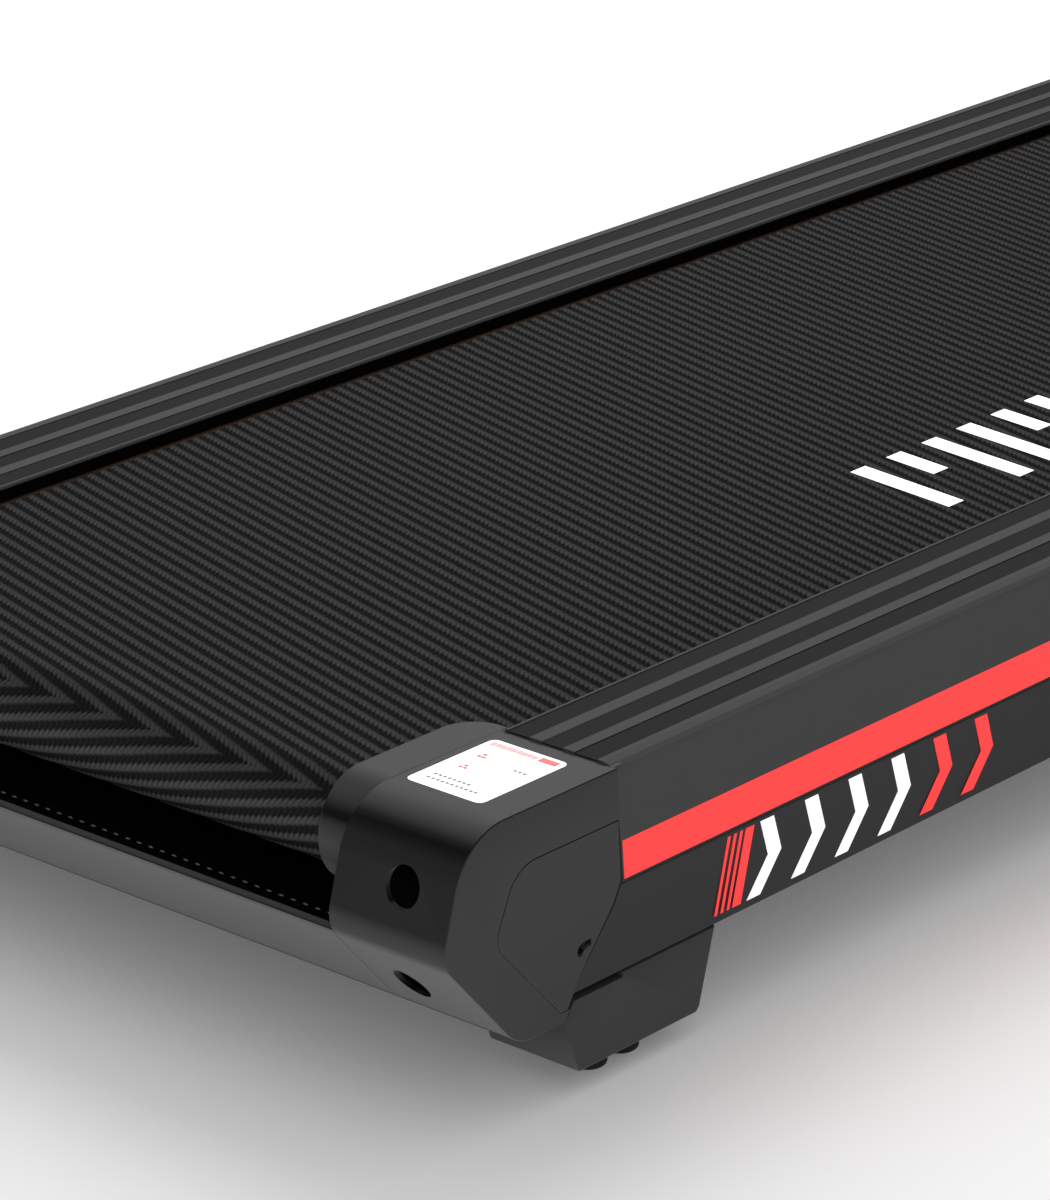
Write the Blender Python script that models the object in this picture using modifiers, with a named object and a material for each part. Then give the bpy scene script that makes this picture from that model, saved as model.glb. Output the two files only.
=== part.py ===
"""Folding home treadmill: a deck that swings up on a floor frame, with uprights, handrails and a console.

Metres, +Z up, +Y towards the console. Heights inside the deck are given below RAIL_TOP,
and distances along it are measured forward from the rear face of the end caps.
"""

import math

import bmesh
import bpy
from mathutils import Matrix, Vector

# ---- clearances -------------------------------------------------------------------------------
GAP = 0.0004            # between pieces that touch
RUN_GAP = 0.0005        # around anything that turns or slides
BELT_GAP = 0.0005       # roller guard over the running belt

# ---- deck -------------------------------------------------------------------------------------
RAIL_TOP = 0.170        # rail's outer top edge above the floor
DECK_WIDTH = 0.601      # over both rails
RUN_LENGTH = 1.360      # rear face of the caps to the motor cover
RAIL_WIDTH = 0.0735
RAIL_HEIGHT = 0.112
RAIL_WALL = 0.0035
RAIL_CROWN = 0.0015     # tread strips above the outer edge
RAIL_GROOVE = 0.0637    # shadow line under the coloured stripe, below the rail top
TREAD_EDGES = (0.0125, 0.027, 0.035, 0.0485, 0.057, 0.071)  # recessed grip strips, from the outside
TREAD_DEPTH = 0.0005
TUBE_WIDTH = 0.030      # steel side tube inside each rail
TUBE_HEIGHT = 0.060
TUBE_INSET = 0.030      # tube's outer face from the rail's outer face
TUBE_DROP = 0.040       # tube's top below the rail top
TUBE_WALL = 0.002
BOARD_THICK = 0.018
BOARD_OVERLAP = 0.0215  # board resting over the side tube
CUSHION_WIDTH = 0.016
CUSHION_SPAN = (0.22, 1.18)
CROSS_PLACE = 0.95      # middle cross member, along the deck
CROSS_DEPTH = 0.040
CROSS_HEIGHT = 0.030

# ---- running belt and rollers -----------------------------------------------------------------
BELT_WIDTH = 0.440
BELT_THICK = 0.0018
BELT_DROP = 0.006       # belt's top below the rail top
ROLLER_RADIUS = 0.0236
ROLLER_OVERHANG = 0.0025  # roller past each edge of the belt
REAR_ROLLER = 0.0515    # roller centre, along the deck
FRONT_ROLLER = 0.050    # roller centre, forward of RUN_LENGTH
AXLE_RADIUS = 0.0075
BOLT_INSET = 0.031      # belt bolt, from the rail's outer face
BOLT_RADIUS = 0.004
BOLT_HEAD = 0.0065
BOLT_HEAD_DEPTH = 0.008
BOLT_SOCKET = (0.0034, 0.005)       # hexagon socket, radius and depth
BOLT_REAR = 0.019
BOLT_FRONT = 0.116

# ---- end caps ---------------------------------------------------------------------------------
CAP_WIDTH = 0.076
CAP_WALL = 0.003
CAP_SIDE_WALL = 0.0065
CAP_DEPTH = 0.125       # cap's underside below the rail top
CAP_TOP_RADIUS = 0.038
CAP_TOP_FLAT = 0.044    # where the flat top starts
CAP_LEAN = 19.0         # rear face off the vertical, degrees
CAP_BULGE_RADIUS = 0.020
CAP_BULGE_DROP = 0.0575
CAP_CHAMFER = 41.0      # normal of the lower slope below the horizontal, degrees
CAP_FOOT_RADIUS = 0.025
CAP_FOOT_CENTRE = 0.065
CAP_FRONT = ((0.0885, -0.125), (0.103, -0.102), (0.1265, -0.074), (0.133, -0.0615), (0.1274, 0.0))
BOLT_HOLE = 0.0115      # round access hole for the belt bolt
LOWER_HOLE = (0.041, 0.020, -0.0905, 0.012)  # inset, distance along, height, radius
SIDE_COVER_THICK = 0.0028
SIDE_COVER_TOP = 0.0265      # side cover's top edge below the rail top
SIDE_COVER_REAR = 0.039
SNAP = ((0.099, -0.092), (0.1087, -0.086))  # release slot in the side cover, rear low to front high
GUARD_REACH = 0.027     # roller guard past the cap
GUARD_THICK = 0.005
GUARD_FRONT = 0.135
GUARD_CORNER = 0.022
GUARD_WRAP = 55.0       # guard's end below the horizontal, degrees
BEAM_TOP = 0.0655
BEAM_WALL = 0.003

# ---- rear feet --------------------------------------------------------------------------------
FOOT_FRONT = 0.210
FOOT_BOTTOM = (0.1016, 0.195)
FOOT_UNDER = 0.0125     # foot's underside above the floor
FOOT_WIDTH = 0.060
PADS = ((0.1255, 0.0125), (0.155, 0.0115))  # distance along, radius
PAD_INSET = 0.0155

# ---- drive ------------------------------------------------------------------------------------
MOTOR_AHEAD = 0.140     # motor axis forward of the front roller
MOTOR_HEIGHT = 0.122
MOTOR_RADIUS = 0.046
MOTOR_SPAN = (-0.190, -0.030)
PULLEY_RADIUS = 0.040
PINION_RADIUS = 0.016
PULLEY_WIDTH = 0.013
DRIVE_BELT_THICK = 0.003
FLYWHEEL_RADIUS = 0.052
FLYWHEEL_WIDTH = 0.014
PLATE_HEIGHT = 0.0735   # top of the motor plate
PLATE_THICK = 0.004

# ---- motor cover ------------------------------------------------------------------------------
HOOD_WALL = 0.003
HOOD_PROFILE = ((0.0, 0.174), (0.030, 0.205), (0.085, 0.242), (0.150, 0.256), (0.225, 0.252),
                (0.290, 0.226), (0.330, 0.180), (0.345, 0.130), (0.345, 0.074))
HOOD_SKIRT = 0.060
HOOD_ROUND = 0.014
SWITCH_SIZE = (0.022, 0.014)
INLET_SIZE = (0.030, 0.024)
INLET_DEPTH = 0.022
INLET_RIM = 0.004
SWITCH_X = 0.200
INLET_X = 0.150
SWITCH_Z = 0.102

# ---- floor frame and pivot --------------------------------------------------------------------
PIVOT_AHEAD = 0.300     # fold pivot forward of RUN_LENGTH
PIVOT_HEIGHT = 0.100
PIVOT_RADIUS = 0.010
SIDE_CLEAR = 0.0345     # floor tube's inner face outside the deck
BASE_WIDTH = 0.050
BASE_BOTTOM = 0.008
BASE_TOP = 0.048
BASE_REAR = 0.640       # floor tube's rear end behind the pivot
BASE_FRONT = 0.065
BASE_WALL = 0.002
BASE_CROSS = 0.040
BASE_CROSS_TOP = 0.038
BRACKET_REAR = 0.034    # pivot bracket's reach behind and ahead of the pivot
BRACKET_FRONT = 0.030
BRACKET_THICK = 0.005
WHEEL_RADIUS = 0.030
WHEEL_WIDTH = 0.026
WHEEL_AHEAD = 0.050     # wheel axle forward of the pivot
WHEEL_AXLE = 0.005
FLOOR_PAD = (0.044, 0.060)

# ---- lift strut -------------------------------------------------------------------------------
STRUT_BEHIND = 0.160    # lower eye behind the fold pivot
STRUT_HEIGHT = 0.054
STRUT_TOP_HEIGHT = 0.062
STRUT_RADIUS = 0.014
STRUT_LENGTH = 0.330
STRUT_BORE_START = 0.095
ROD_RADIUS = 0.005
ROD_START = 0.112
EYE_RADIUS = 0.011
EYE_WIDTH = 0.016
EYE_PIN = 0.005
LUG_THICK = 0.005
EAR_CLEAR = 0.001       # bracket's ears beside the eye
RELEASE_BOSS = 0.004

# ---- uprights, handrails and console ----------------------------------------------------------
UPRIGHT_X = 0.3455      # upright's centre line
UPRIGHT_WIDTH = 0.040
UPRIGHT_DEPTH = 0.075
UPRIGHT_FOOT = 0.110    # foot forward of RUN_LENGTH
UPRIGHT_LEAN = 0.150    # head forward of the foot
UPRIGHT_TOP = 1.245
RAIL_BAR_RADIUS = 0.016
RAIL_BAR_HEIGHT = 0.985
RAIL_BAR_REACH = 0.430
GRIP_RADIUS = 0.0215
GRIP_LENGTH = 0.190
CONSOLE_TILT = 35.0
CONSOLE_HALF = 0.220
CONSOLE_DEPTH = 0.250
CONSOLE_THICK = 0.058
CONSOLE_WALL = 0.005
CONSOLE_ROUND = 0.008
CONSOLE_HEIGHT = 1.195
CONSOLE_AHEAD = 0.240   # console centre forward of RUN_LENGTH
PANEL_THICK = 0.006
SCREEN = (0.185, 0.075, 0.038)     # width, height, distance up the panel from its centre
KEY_RADIUS = 0.0115
KEY_PROUD = 0.0025
KEYS = (("start_key", -0.135, "key_plastic"), ("stop_key", -0.080, "red_plastic"))
KEY_ROW = -0.052        # keys' line down the panel from its centre
ROCKER = (0.105, 0.070, 0.022)      # speed rocker's place across, length and width
SAFETY_RADIUS = 0.014
SAFETY_PLACE = -0.085
TRAY_HEIGHT = 0.070
TRAY_TOP = 1.150
TRAY_DEPTH = 0.150
CUP_RADIUS = 0.040
CUP_DEPTH = 0.055

# ---- values that follow from the ones above ---------------------------------------------------
HALF = DECK_WIDTH / 2
PIVOT = RUN_LENGTH + PIVOT_AHEAD
LENGTH = PIVOT + WHEEL_AHEAD + WHEEL_RADIUS
AXIS_DROP = BELT_DROP + BELT_THICK + ROLLER_RADIUS
AXIS_Z = RAIL_TOP - AXIS_DROP
LOOP_RADIUS = ROLLER_RADIUS + BELT_THICK
FRONT_AXIS = RUN_LENGTH + FRONT_ROLLER
MOTOR_AXIS = FRONT_AXIS + MOTOR_AHEAD
ROLLER_HALF = BELT_WIDTH / 2 + ROLLER_OVERHANG
TUBE_OUT = HALF - TUBE_INSET
TUBE_IN = TUBE_OUT - TUBE_WIDTH
TUBE_TOP_Z = RAIL_TOP - TUBE_DROP
TUBE_BOTTOM_Z = TUBE_TOP_Z - TUBE_HEIGHT
BOARD_TOP_Z = RAIL_TOP - BELT_DROP - BELT_THICK - GAP
PULLEY_OUT = TUBE_IN - 0.002
BASE_IN = HALF + SIDE_CLEAR
BASE_OUT = BASE_IN + BASE_WIDTH
BOLT_X = HALF - BOLT_INSET
SIDES = (("left", -1), ("right", 1))

ROOT = Matrix.Translation((0.0, -LENGTH / 2, 0.0))
AXES = {
    "X": Matrix.Rotation(math.pi / 2, 4, "Z") @ Matrix.Rotation(math.pi / 2, 4, "X"),
    "Y": Matrix.Rotation(math.pi / 2, 4, "X"),
    "Z": Matrix.Identity(4),
}
COLOURS = {
    "belt_rubber": ((0.030, 0.030, 0.032), 0.75, 0.0),
    "rail_plastic": ((0.060, 0.060, 0.064), 0.50, 0.0),
    "cap_plastic": ((0.070, 0.070, 0.072), 0.55, 0.0),
    "rubber": ((0.020, 0.020, 0.022), 0.80, 0.0),
    "steel": ((0.560, 0.570, 0.580), 0.35, 1.0),
    "painted_steel": ((0.085, 0.088, 0.092), 0.45, 0.3),
    "board": ((0.250, 0.170, 0.100), 0.60, 0.0),
    "cover_plastic": ((0.050, 0.050, 0.054), 0.40, 0.0),
    "console_plastic": ((0.065, 0.066, 0.070), 0.45, 0.0),
    "screen": ((0.010, 0.020, 0.030), 0.10, 0.0),
    "red_plastic": ((0.800, 0.040, 0.040), 0.40, 0.0),
    "key_plastic": ((0.300, 0.310, 0.320), 0.45, 0.0),
    "foam": ((0.025, 0.025, 0.027), 0.90, 0.0),
    "motor_metal": ((0.180, 0.180, 0.190), 0.40, 0.8),
}


def clear_scene():
    for obj in list(bpy.data.objects):
        bpy.data.objects.remove(obj)


def new_collection(name):
    group = bpy.data.collections.new(name)
    bpy.context.scene.collection.children.link(group)
    return group


clear_scene()
PARTS = new_collection("treadmill")
CUTTERS = new_collection("treadmill_cutters")


def finish_material(name, slot):
    """One Principled material for one named piece."""
    colour, roughness, metallic = COLOURS[slot]
    material = bpy.data.materials.new(name)
    material.use_nodes = True
    shader = material.node_tree.nodes["Principled BSDF"]
    shader.inputs["Base Color"].default_value = (*colour, 1.0)
    shader.inputs["Roughness"].default_value = roughness
    shader.inputs["Metallic"].default_value = metallic
    material.diffuse_color = (*colour, 1.0)
    return material


def place(obj, slot):
    """Puts a piece in the model with its own material, or among the cutters when it has no slot."""
    if slot is None:
        CUTTERS.objects.link(obj)
        obj.hide_render = True
        obj.display_type = "WIRE"
        return obj
    PARTS.objects.link(obj)
    obj.data.materials.append(finish_material(obj.name, slot))
    return obj


def from_bmesh(name, shape, matrix, slot, sharp=40.0):
    bmesh.ops.recalc_face_normals(shape, faces=shape.faces)
    mesh = bpy.data.meshes.new(name)
    shape.to_mesh(mesh)
    shape.free()
    mesh.shade_smooth()
    mesh.set_sharp_from_angle(angle=math.radians(sharp))
    obj = bpy.data.objects.new(name, mesh)
    obj.matrix_world = ROOT @ matrix
    return place(obj, slot)


def curve_to_bmesh(curve):
    """The closed mesh that a curve makes, with its caps welded on."""
    holder = bpy.data.objects.new("outline", curve)
    CUTTERS.objects.link(holder)
    graph = bpy.context.evaluated_depsgraph_get()
    mesh = bpy.data.meshes.new_from_object(holder.evaluated_get(graph))
    shape = bmesh.new()
    shape.from_mesh(mesh)
    bmesh.ops.remove_doubles(shape, verts=shape.verts, dist=0.00002)
    bpy.data.objects.remove(holder)
    bpy.data.curves.remove(curve)
    bpy.data.meshes.remove(mesh)
    return shape


def round_edges(obj, width, segments=1, angle=40.0):
    bevel = obj.modifiers.new("rounded", "BEVEL")
    bevel.width = width
    bevel.segments = segments
    bevel.limit_method = "ANGLE"
    bevel.angle_limit = math.radians(angle)
    return obj


def box(name, low, high, slot=None, rounded=0.0, matrix=None):
    """A box between two corners, in the deck's own lengths."""
    low, high = Vector(low), Vector(high)
    shape = bmesh.new()
    bmesh.ops.create_cube(shape, size=1.0)
    size = Matrix.Diagonal((*(high - low), 1.0))
    bmesh.ops.transform(shape, matrix=size, verts=shape.verts)
    centre = Matrix.Translation((low + high) / 2)
    obj = from_bmesh(name, shape, (matrix or Matrix.Identity(4)) @ centre, slot)
    return round_edges(obj, rounded) if rounded else obj


def prism(name, loops, axis, low, high, slot=None, matrix=None):
    """An outline, with any further loops as holes, extruded along an axis from low to high."""
    curve = bpy.data.curves.new(name, "CURVE")
    curve.dimensions = "2D"
    curve.fill_mode = "BOTH"
    curve.extrude = abs(high - low) / 2
    for loop in loops:
        spline = curve.splines.new("POLY")
        spline.points.add(len(loop) - 1)
        for point, (u, v) in zip(spline.points, loop):
            point.co = (u, v, 0.0, 1.0)
        spline.use_cyclic_u = True
    middle = (low + high) / 2
    shift = {"X": (middle, 0, 0), "Y": (0, middle, 0), "Z": (0, 0, middle)}[axis]
    frame = Matrix.Translation(shift) @ AXES[axis]
    return from_bmesh(name, curve_to_bmesh(curve), (matrix or Matrix.Identity(4)) @ frame, slot)


def between(start, end):
    """The frame whose Z runs from start to end, with its origin at start."""
    direction = Vector(end) - Vector(start)
    turn = direction.to_track_quat("Z", "Y").to_matrix().to_4x4()
    return Matrix.Translation(start) @ turn, direction.length


def cylinder(name, start, end, radius, slot=None, sides=28, rounded=0.0, matrix=None):
    frame, length = between(start, end)
    shape = bmesh.new()
    bmesh.ops.create_cone(shape, cap_ends=True, segments=sides, radius1=radius, radius2=radius,
                          depth=length)
    centre = Matrix.Translation((0, 0, length / 2))
    obj = from_bmesh(name, shape, (matrix or Matrix.Identity(4)) @ frame @ centre, slot)
    return round_edges(obj, rounded) if rounded else obj


def turned(name, profile, start, end, slot=None, steps=28, matrix=None):
    """A profile of (radius, distance from start) turned about the line from start to end."""
    frame, _ = between(start, end)
    mesh = bpy.data.meshes.new(name)
    points = [(radius, 0.0, height) for radius, height in profile]
    closed = all(radius > 0 for radius, _ in profile)
    edges = [(i, i + 1) for i in range(len(points) - 1)]
    if closed:
        edges.append((len(points) - 1, 0))
    mesh.from_pydata(points, edges, [])
    obj = bpy.data.objects.new(name, mesh)
    obj.matrix_world = ROOT @ (matrix or Matrix.Identity(4)) @ frame
    place(obj, slot)
    screw = obj.modifiers.new("turned", "SCREW")
    screw.steps = steps
    screw.render_steps = steps
    screw.use_merge_vertices = True
    screw.merge_threshold = 0.00005
    screw.use_smooth_shade = False
    return obj


def pipe(name, points, radius, slot):
    """A round bar along a list of points."""
    curve = bpy.data.curves.new(name, "CURVE")
    curve.dimensions = "3D"
    curve.bevel_depth = radius
    curve.bevel_resolution = 4
    curve.use_fill_caps = True
    spline = curve.splines.new("POLY")
    spline.points.add(len(points) - 1)
    for point, place_at in zip(spline.points, points):
        point.co = (*place_at, 1.0)
    return from_bmesh(name, curve_to_bmesh(curve), Matrix.Identity(4), slot)


def combine(obj, others, operation):
    for other in others:
        boolean = obj.modifiers.new(other.name, "BOOLEAN")
        boolean.operation = operation
        boolean.object = other
        boolean.solver = "EXACT"
    return obj


def cut(obj, *others):
    return combine(obj, others, "DIFFERENCE")


def join(obj, *others):
    return combine(obj, others, "UNION")


def span(sign, near, far):
    """Two distances from the middle as a low and a high X on one side."""
    return tuple(sorted((sign * near, sign * far)))


def arc(centre, radius, start, end, steps):
    """Points on an arc, angles in degrees from the first axis."""
    angles = [math.radians(start + (end - start) * i / steps) for i in range(steps + 1)]
    return [(centre[0] + radius * math.cos(a), centre[1] + radius * math.sin(a)) for a in angles]


def rounded_loop(width, height, radius, centre=(0.0, 0.0), steps=4):
    half_w, half_h = width / 2 - radius, height / 2 - radius
    corners = ((half_w, half_h, 0), (-half_w, half_h, 90), (-half_w, -half_h, 180), (half_w, -half_h, 270))
    loop = []
    for u, v, start in corners:
        loop += arc((centre[0] + u, centre[1] + v), radius, start, start + 90, steps)
    return loop


def offset(loop, distance, closed=True):
    """The outline moved to its left by distance, corner by corner."""
    count = len(loop)
    moved = []
    for i, point in enumerate(loop):
        before = loop[i - 1] if closed or i else None
        after = loop[(i + 1) % count] if closed or i < count - 1 else None
        normals = []
        for a, b in ((before, point), (point, after)):
            if a is not None and b is not None:
                edge = Vector((b[0] - a[0], b[1] - a[1])).normalized()
                normals.append(Vector((-edge.y, edge.x)))
        normal = sum(normals, Vector((0.0, 0.0))).normalized()
        stretch = distance / max(0.5, normal.dot(normals[0]))
        moved.append((point[0] + normal.x * stretch, point[1] + normal.y * stretch))
    return moved


def thickened(path, wall):
    """A wall of even thickness on the left of an open path, as a closed outline."""
    return list(path) + offset(path, wall, closed=False)[::-1]


def below_top(loop):
    """Heights given below the rail top as heights above the floor."""
    return [(u, RAIL_TOP + v) for u, v in loop]


# ---- deck pieces ------------------------------------------------------------------------------

def cap_back():
    """The cap's outline from its flat top, down the rear and along the underside."""
    bulge = (CAP_BULGE_RADIUS, -CAP_BULGE_DROP)
    lean = 180.0 - CAP_LEAN
    chamfer = 180.0 + CAP_CHAMFER
    top = arc((CAP_TOP_FLAT, -CAP_TOP_RADIUS), CAP_TOP_RADIUS, 90.0, lean, 7)
    middle = arc(bulge, CAP_BULGE_RADIUS, lean, chamfer, 6)
    foot = arc((CAP_FOOT_CENTRE, CAP_FOOT_RADIUS - CAP_DEPTH), CAP_FOOT_RADIUS, chamfer, 270.0, 4)
    return top + middle + foot


def cover_outline():
    """The side cover's seam, inside the cap's outline, ending at the cap's front edge."""
    top = arc((SIDE_COVER_REAR + 0.028, -SIDE_COVER_TOP - 0.022), 0.022, 90.0, 150.0, 4)
    rear = arc((SIDE_COVER_REAR + 0.014, -0.0625), 0.014, 155.0, 218.0, 4)
    front = [(0.0865, -0.1185), (0.0915, -0.1185), (0.1025, -0.1010), (0.1258, -0.0733),
             (0.1321, -0.0612), (0.1298, -SIDE_COVER_TOP)]
    return top + rear + front


def rail_outline(sign):
    """The rail's section: a crowned tread over an outer wall that turns in at the bottom."""
    crown = RAIL_CROWN
    outer = [(0.0012, -RAIL_HEIGHT), (0.0, -RAIL_GROOVE - 0.0008), (0.0010, -RAIL_GROOVE),
             (0.0, -RAIL_GROOVE + 0.0008), (0.0, -0.0405), (0.0014, -0.0045), (0.0024, -0.0012),
             (0.0048, 0.0006), (0.0092, crown)]
    tread = []
    for index, edge in enumerate(TREAD_EDGES):
        levels = (crown, crown - TREAD_DEPTH)
        first, second = levels if index % 2 == 0 else levels[::-1]
        tread += [(edge, first), (edge + 0.0003, second)]
    lip = -BELT_DROP - BELT_THICK + GAP
    inner = [(RAIL_WIDTH - 0.0006, crown), (RAIL_WIDTH, crown - 0.0008), (RAIL_WIDTH, lip),
             (RAIL_WIDTH - 0.0025, lip), (RAIL_WIDTH - 0.0025, crown - 0.004),
             (RAIL_WALL + 0.004, crown - 0.004), (RAIL_WALL + 0.0012, -0.008),
             (RAIL_WALL, -0.0405), (RAIL_WALL, -RAIL_HEIGHT + RAIL_WALL),
             (0.022, -RAIL_HEIGHT + RAIL_WALL), (0.022, -RAIL_HEIGHT)]
    return [(sign * (HALF - x), RAIL_TOP + z) for x, z in outer + tread + inner]


def make_rail(side, sign):
    """The rail's rear end follows the cap's front edge, a gap away from it."""
    rear = CAP_FRONT[0][0]
    rail = prism(f"rail_{side}", [rail_outline(sign)], "Y", rear, RUN_LENGTH - GAP, "rail_plastic")
    edge = [(y + RUN_GAP, z) for y, z in CAP_FRONT]
    edge = [(edge[0][0], -0.2), *edge, (edge[-1][0], 0.1), (-0.1, 0.1), (-0.1, -0.2)]
    cut(rail, prism(f"rail_end_{side}", [below_top(edge)], "X", *span(sign, HALF - 0.1, HALF + 0.01)))


def make_side_tube(side, sign):
    """Steel tube under the rail, with the belt bolt's plate at the rear and the pivot hole in front."""
    middle = sign * (TUBE_OUT + TUBE_IN) / 2
    centre = (middle, (TUBE_TOP_Z + TUBE_BOTTOM_Z) / 2)
    rear = REAR_ROLLER + AXLE_RADIUS + 0.016
    loops = [rounded_loop(TUBE_WIDTH, TUBE_HEIGHT, 0.004, centre, 2),
             rounded_loop(TUBE_WIDTH - 2 * TUBE_WALL, TUBE_HEIGHT - 2 * TUBE_WALL, 0.002, centre, 2)]
    tube = prism(f"side_tube_{side}", loops, "Y", rear, PIVOT + 0.030, "painted_steel")
    low, high = span(sign, TUBE_IN, BOLT_X + 0.013)
    plate = box(f"bolt_plate_{side}", (low, rear + 0.002, TUBE_BOTTOM_Z),
                (high, rear + 0.007, AXIS_Z + 0.016))
    join(tube, plate)
    hole = cylinder(f"bolt_plate_hole_{side}", (sign * BOLT_X, rear - 0.01, AXIS_Z),
                    (sign * BOLT_X, rear + 0.02, AXIS_Z), BOLT_RADIUS + RUN_GAP, sides=20)
    pivot = cylinder(f"pivot_hole_{side}", (sign * (TUBE_IN - 0.01), PIVOT, PIVOT_HEIGHT),
                     (sign * (TUBE_OUT + 0.01), PIVOT, PIVOT_HEIGHT), PIVOT_RADIUS + RUN_GAP)
    cut(tube, hole, pivot)


def make_board():
    half = TUBE_IN + BOARD_OVERLAP
    rear = max(y for y, _ in CAP_FRONT) + 2 * GAP
    front = FRONT_AXIS - LOOP_RADIUS - 0.020
    box("deck_board", (-half, rear, BOARD_TOP_Z - BOARD_THICK), (half, front, BOARD_TOP_Z), "board", 0.002)
    for side, sign in SIDES:
        low, high = span(sign, TUBE_IN + 0.003, TUBE_IN + 0.003 + CUSHION_WIDTH)
        box(f"cushion_strip_{side}", (low, CUSHION_SPAN[0], TUBE_TOP_Z + GAP),
            (high, CUSHION_SPAN[1], BOARD_TOP_Z - BOARD_THICK - GAP), "rubber", 0.002)


def make_cross_member():
    """Ties the side tubes under the belt and carries the strut's upper lug."""
    top = RAIL_TOP - AXIS_DROP - LOOP_RADIUS - 0.006
    member = box("cross_member", (-TUBE_IN + GAP, CROSS_PLACE - CROSS_DEPTH / 2, top - CROSS_HEIGHT),
                 (TUBE_IN - GAP, CROSS_PLACE + CROSS_DEPTH / 2, top), "painted_steel", 0.003)
    near = EYE_WIDTH / 2 + 0.0015
    lug = box("cross_lug", (near, CROSS_PLACE - 0.016, STRUT_TOP_HEIGHT - 0.012),
              (near + LUG_THICK, CROSS_PLACE + 0.016, top - 0.010))
    join(member, lug)
    stub = cylinder("cross_stub", (near + LUG_THICK + 0.006, CROSS_PLACE, STRUT_TOP_HEIGHT),
                    (near - 0.0005, CROSS_PLACE, STRUT_TOP_HEIGHT), EYE_PIN + 0.002, sides=20)
    join(member, stub)


def make_cap(side, sign):
    """Hollow end cap: bolt holes at the rear, an inset side cover, and a gap for the roller axle."""
    outline = cap_back() + list(CAP_FRONT)
    inner, outer = HALF - CAP_WIDTH, HALF
    cap = prism(f"end_cap_{side}", [below_top(outline)], "X", *span(sign, inner, outer), "cap_plastic")
    round_edges(cap, 0.0020, 1, 50.0)
    back = offset(cap_back(), CAP_WALL, closed=False)
    hollow = back + [(0.15, back[-1][1]), (0.15, back[0][1])]
    walls = span(sign, inner + CAP_WALL, outer - CAP_SIDE_WALL)
    cutters = [prism(f"cap_hollow_{side}", [below_top(hollow)], "X", *walls)]
    seat = offset(cover_outline(), -GAP)
    seat = [(y + (0.004 if y > 0.088 else 0.0), z) for y, z in seat]
    floor_x = outer - SIDE_COVER_THICK - GAP
    cutters.append(prism(f"cover_seat_{side}", [below_top(seat)], "X", *span(sign, floor_x, outer + 0.005)))
    cutters.append(cylinder(f"bolt_access_{side}", (sign * BOLT_X, -0.02, AXIS_Z),
                            (sign * BOLT_X, 0.03, AXIS_Z), BOLT_HOLE))
    inset, along, height, radius = LOWER_HOLE
    slope = math.radians(CAP_CHAMFER)
    inward = Vector((0, math.cos(slope), math.sin(slope)))
    mouth = Vector((sign * (HALF - inset), along, RAIL_TOP + height))
    cutters.append(cylinder(f"lower_access_{side}", mouth - inward * 0.012, mouth + inward * 0.012, radius))
    cutters.append(cylinder(f"axle_gap_{side}", (sign * (inner - 0.01), REAR_ROLLER, AXIS_Z),
                            (sign * (inner + 0.012), REAR_ROLLER, AXIS_Z), AXLE_RADIUS + 0.002))
    cut(cap, *cutters)
    cover = prism(f"side_cover_{side}", [below_top(cover_outline())], "X",
                  *span(sign, outer - SIDE_COVER_THICK, outer), "cap_plastic")
    round_edges(cover, 0.0008, 1, 50.0)
    (rear, low), (front, high) = SNAP
    cut(cover, box(f"snap_slot_{side}", (min(walls) - 0.01, rear, RAIL_TOP + low),
                   (max(walls) + 0.02, front, RAIL_TOP + high)))


def make_guard(side, sign):
    """Thin hood over the belt's edge that wraps round the rear roller."""
    centre = (REAR_ROLLER, -AXIS_DROP)
    inner = LOOP_RADIUS + BELT_GAP
    outer = inner + GUARD_THICK
    end = 180.0 + GUARD_WRAP
    loop = [(GUARD_FRONT, centre[1] + outer)] + arc(centre, outer, 90.0, end, 14)
    loop += arc(centre, inner, end, 90.0, 14) + [(GUARD_FRONT, centre[1] + inner)]
    near = HALF - CAP_WIDTH - GAP
    guard = prism(f"roller_guard_{side}", [below_top(loop)], "X", *span(sign, near, near - GUARD_REACH),
                  "cap_plastic")
    x_inner = near - GUARD_REACH
    corner = arc((x_inner + GUARD_CORNER, GUARD_FRONT - GUARD_CORNER), GUARD_CORNER, 90.0, 180.0, 6)
    corner.append((x_inner - 0.01, GUARD_FRONT - GUARD_CORNER))
    corner += [(x_inner - 0.01, GUARD_FRONT + 0.01), (x_inner + GUARD_CORNER, GUARD_FRONT + 0.01)]
    corner = [(sign * x, y) for x, y in corner]
    cut(guard, prism(f"guard_corner_{side}", [corner], "Z", RAIL_TOP - 0.03, RAIL_TOP + 0.03))


def make_rear_beam():
    """Cross beam between the caps, with their lower slope."""
    bulge = (CAP_BULGE_RADIUS, -CAP_BULGE_DROP)
    chamfer = 180.0 + CAP_CHAMFER
    start = 180.0 + math.degrees(math.asin((BEAM_TOP - CAP_BULGE_DROP) / CAP_BULGE_RADIUS))
    path = arc(bulge, CAP_BULGE_RADIUS, start, chamfer, 3)
    path += arc((CAP_FOOT_CENTRE, CAP_FOOT_RADIUS - CAP_DEPTH), CAP_FOOT_RADIUS, chamfer, 270.0, 4)
    path.append((CAP_FRONT[0][0], -CAP_DEPTH))
    half = HALF - CAP_WIDTH - GAP
    prism("rear_beam", [below_top(thickened(path, BEAM_WALL))], "X", -half, half, "cap_plastic")


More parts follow.
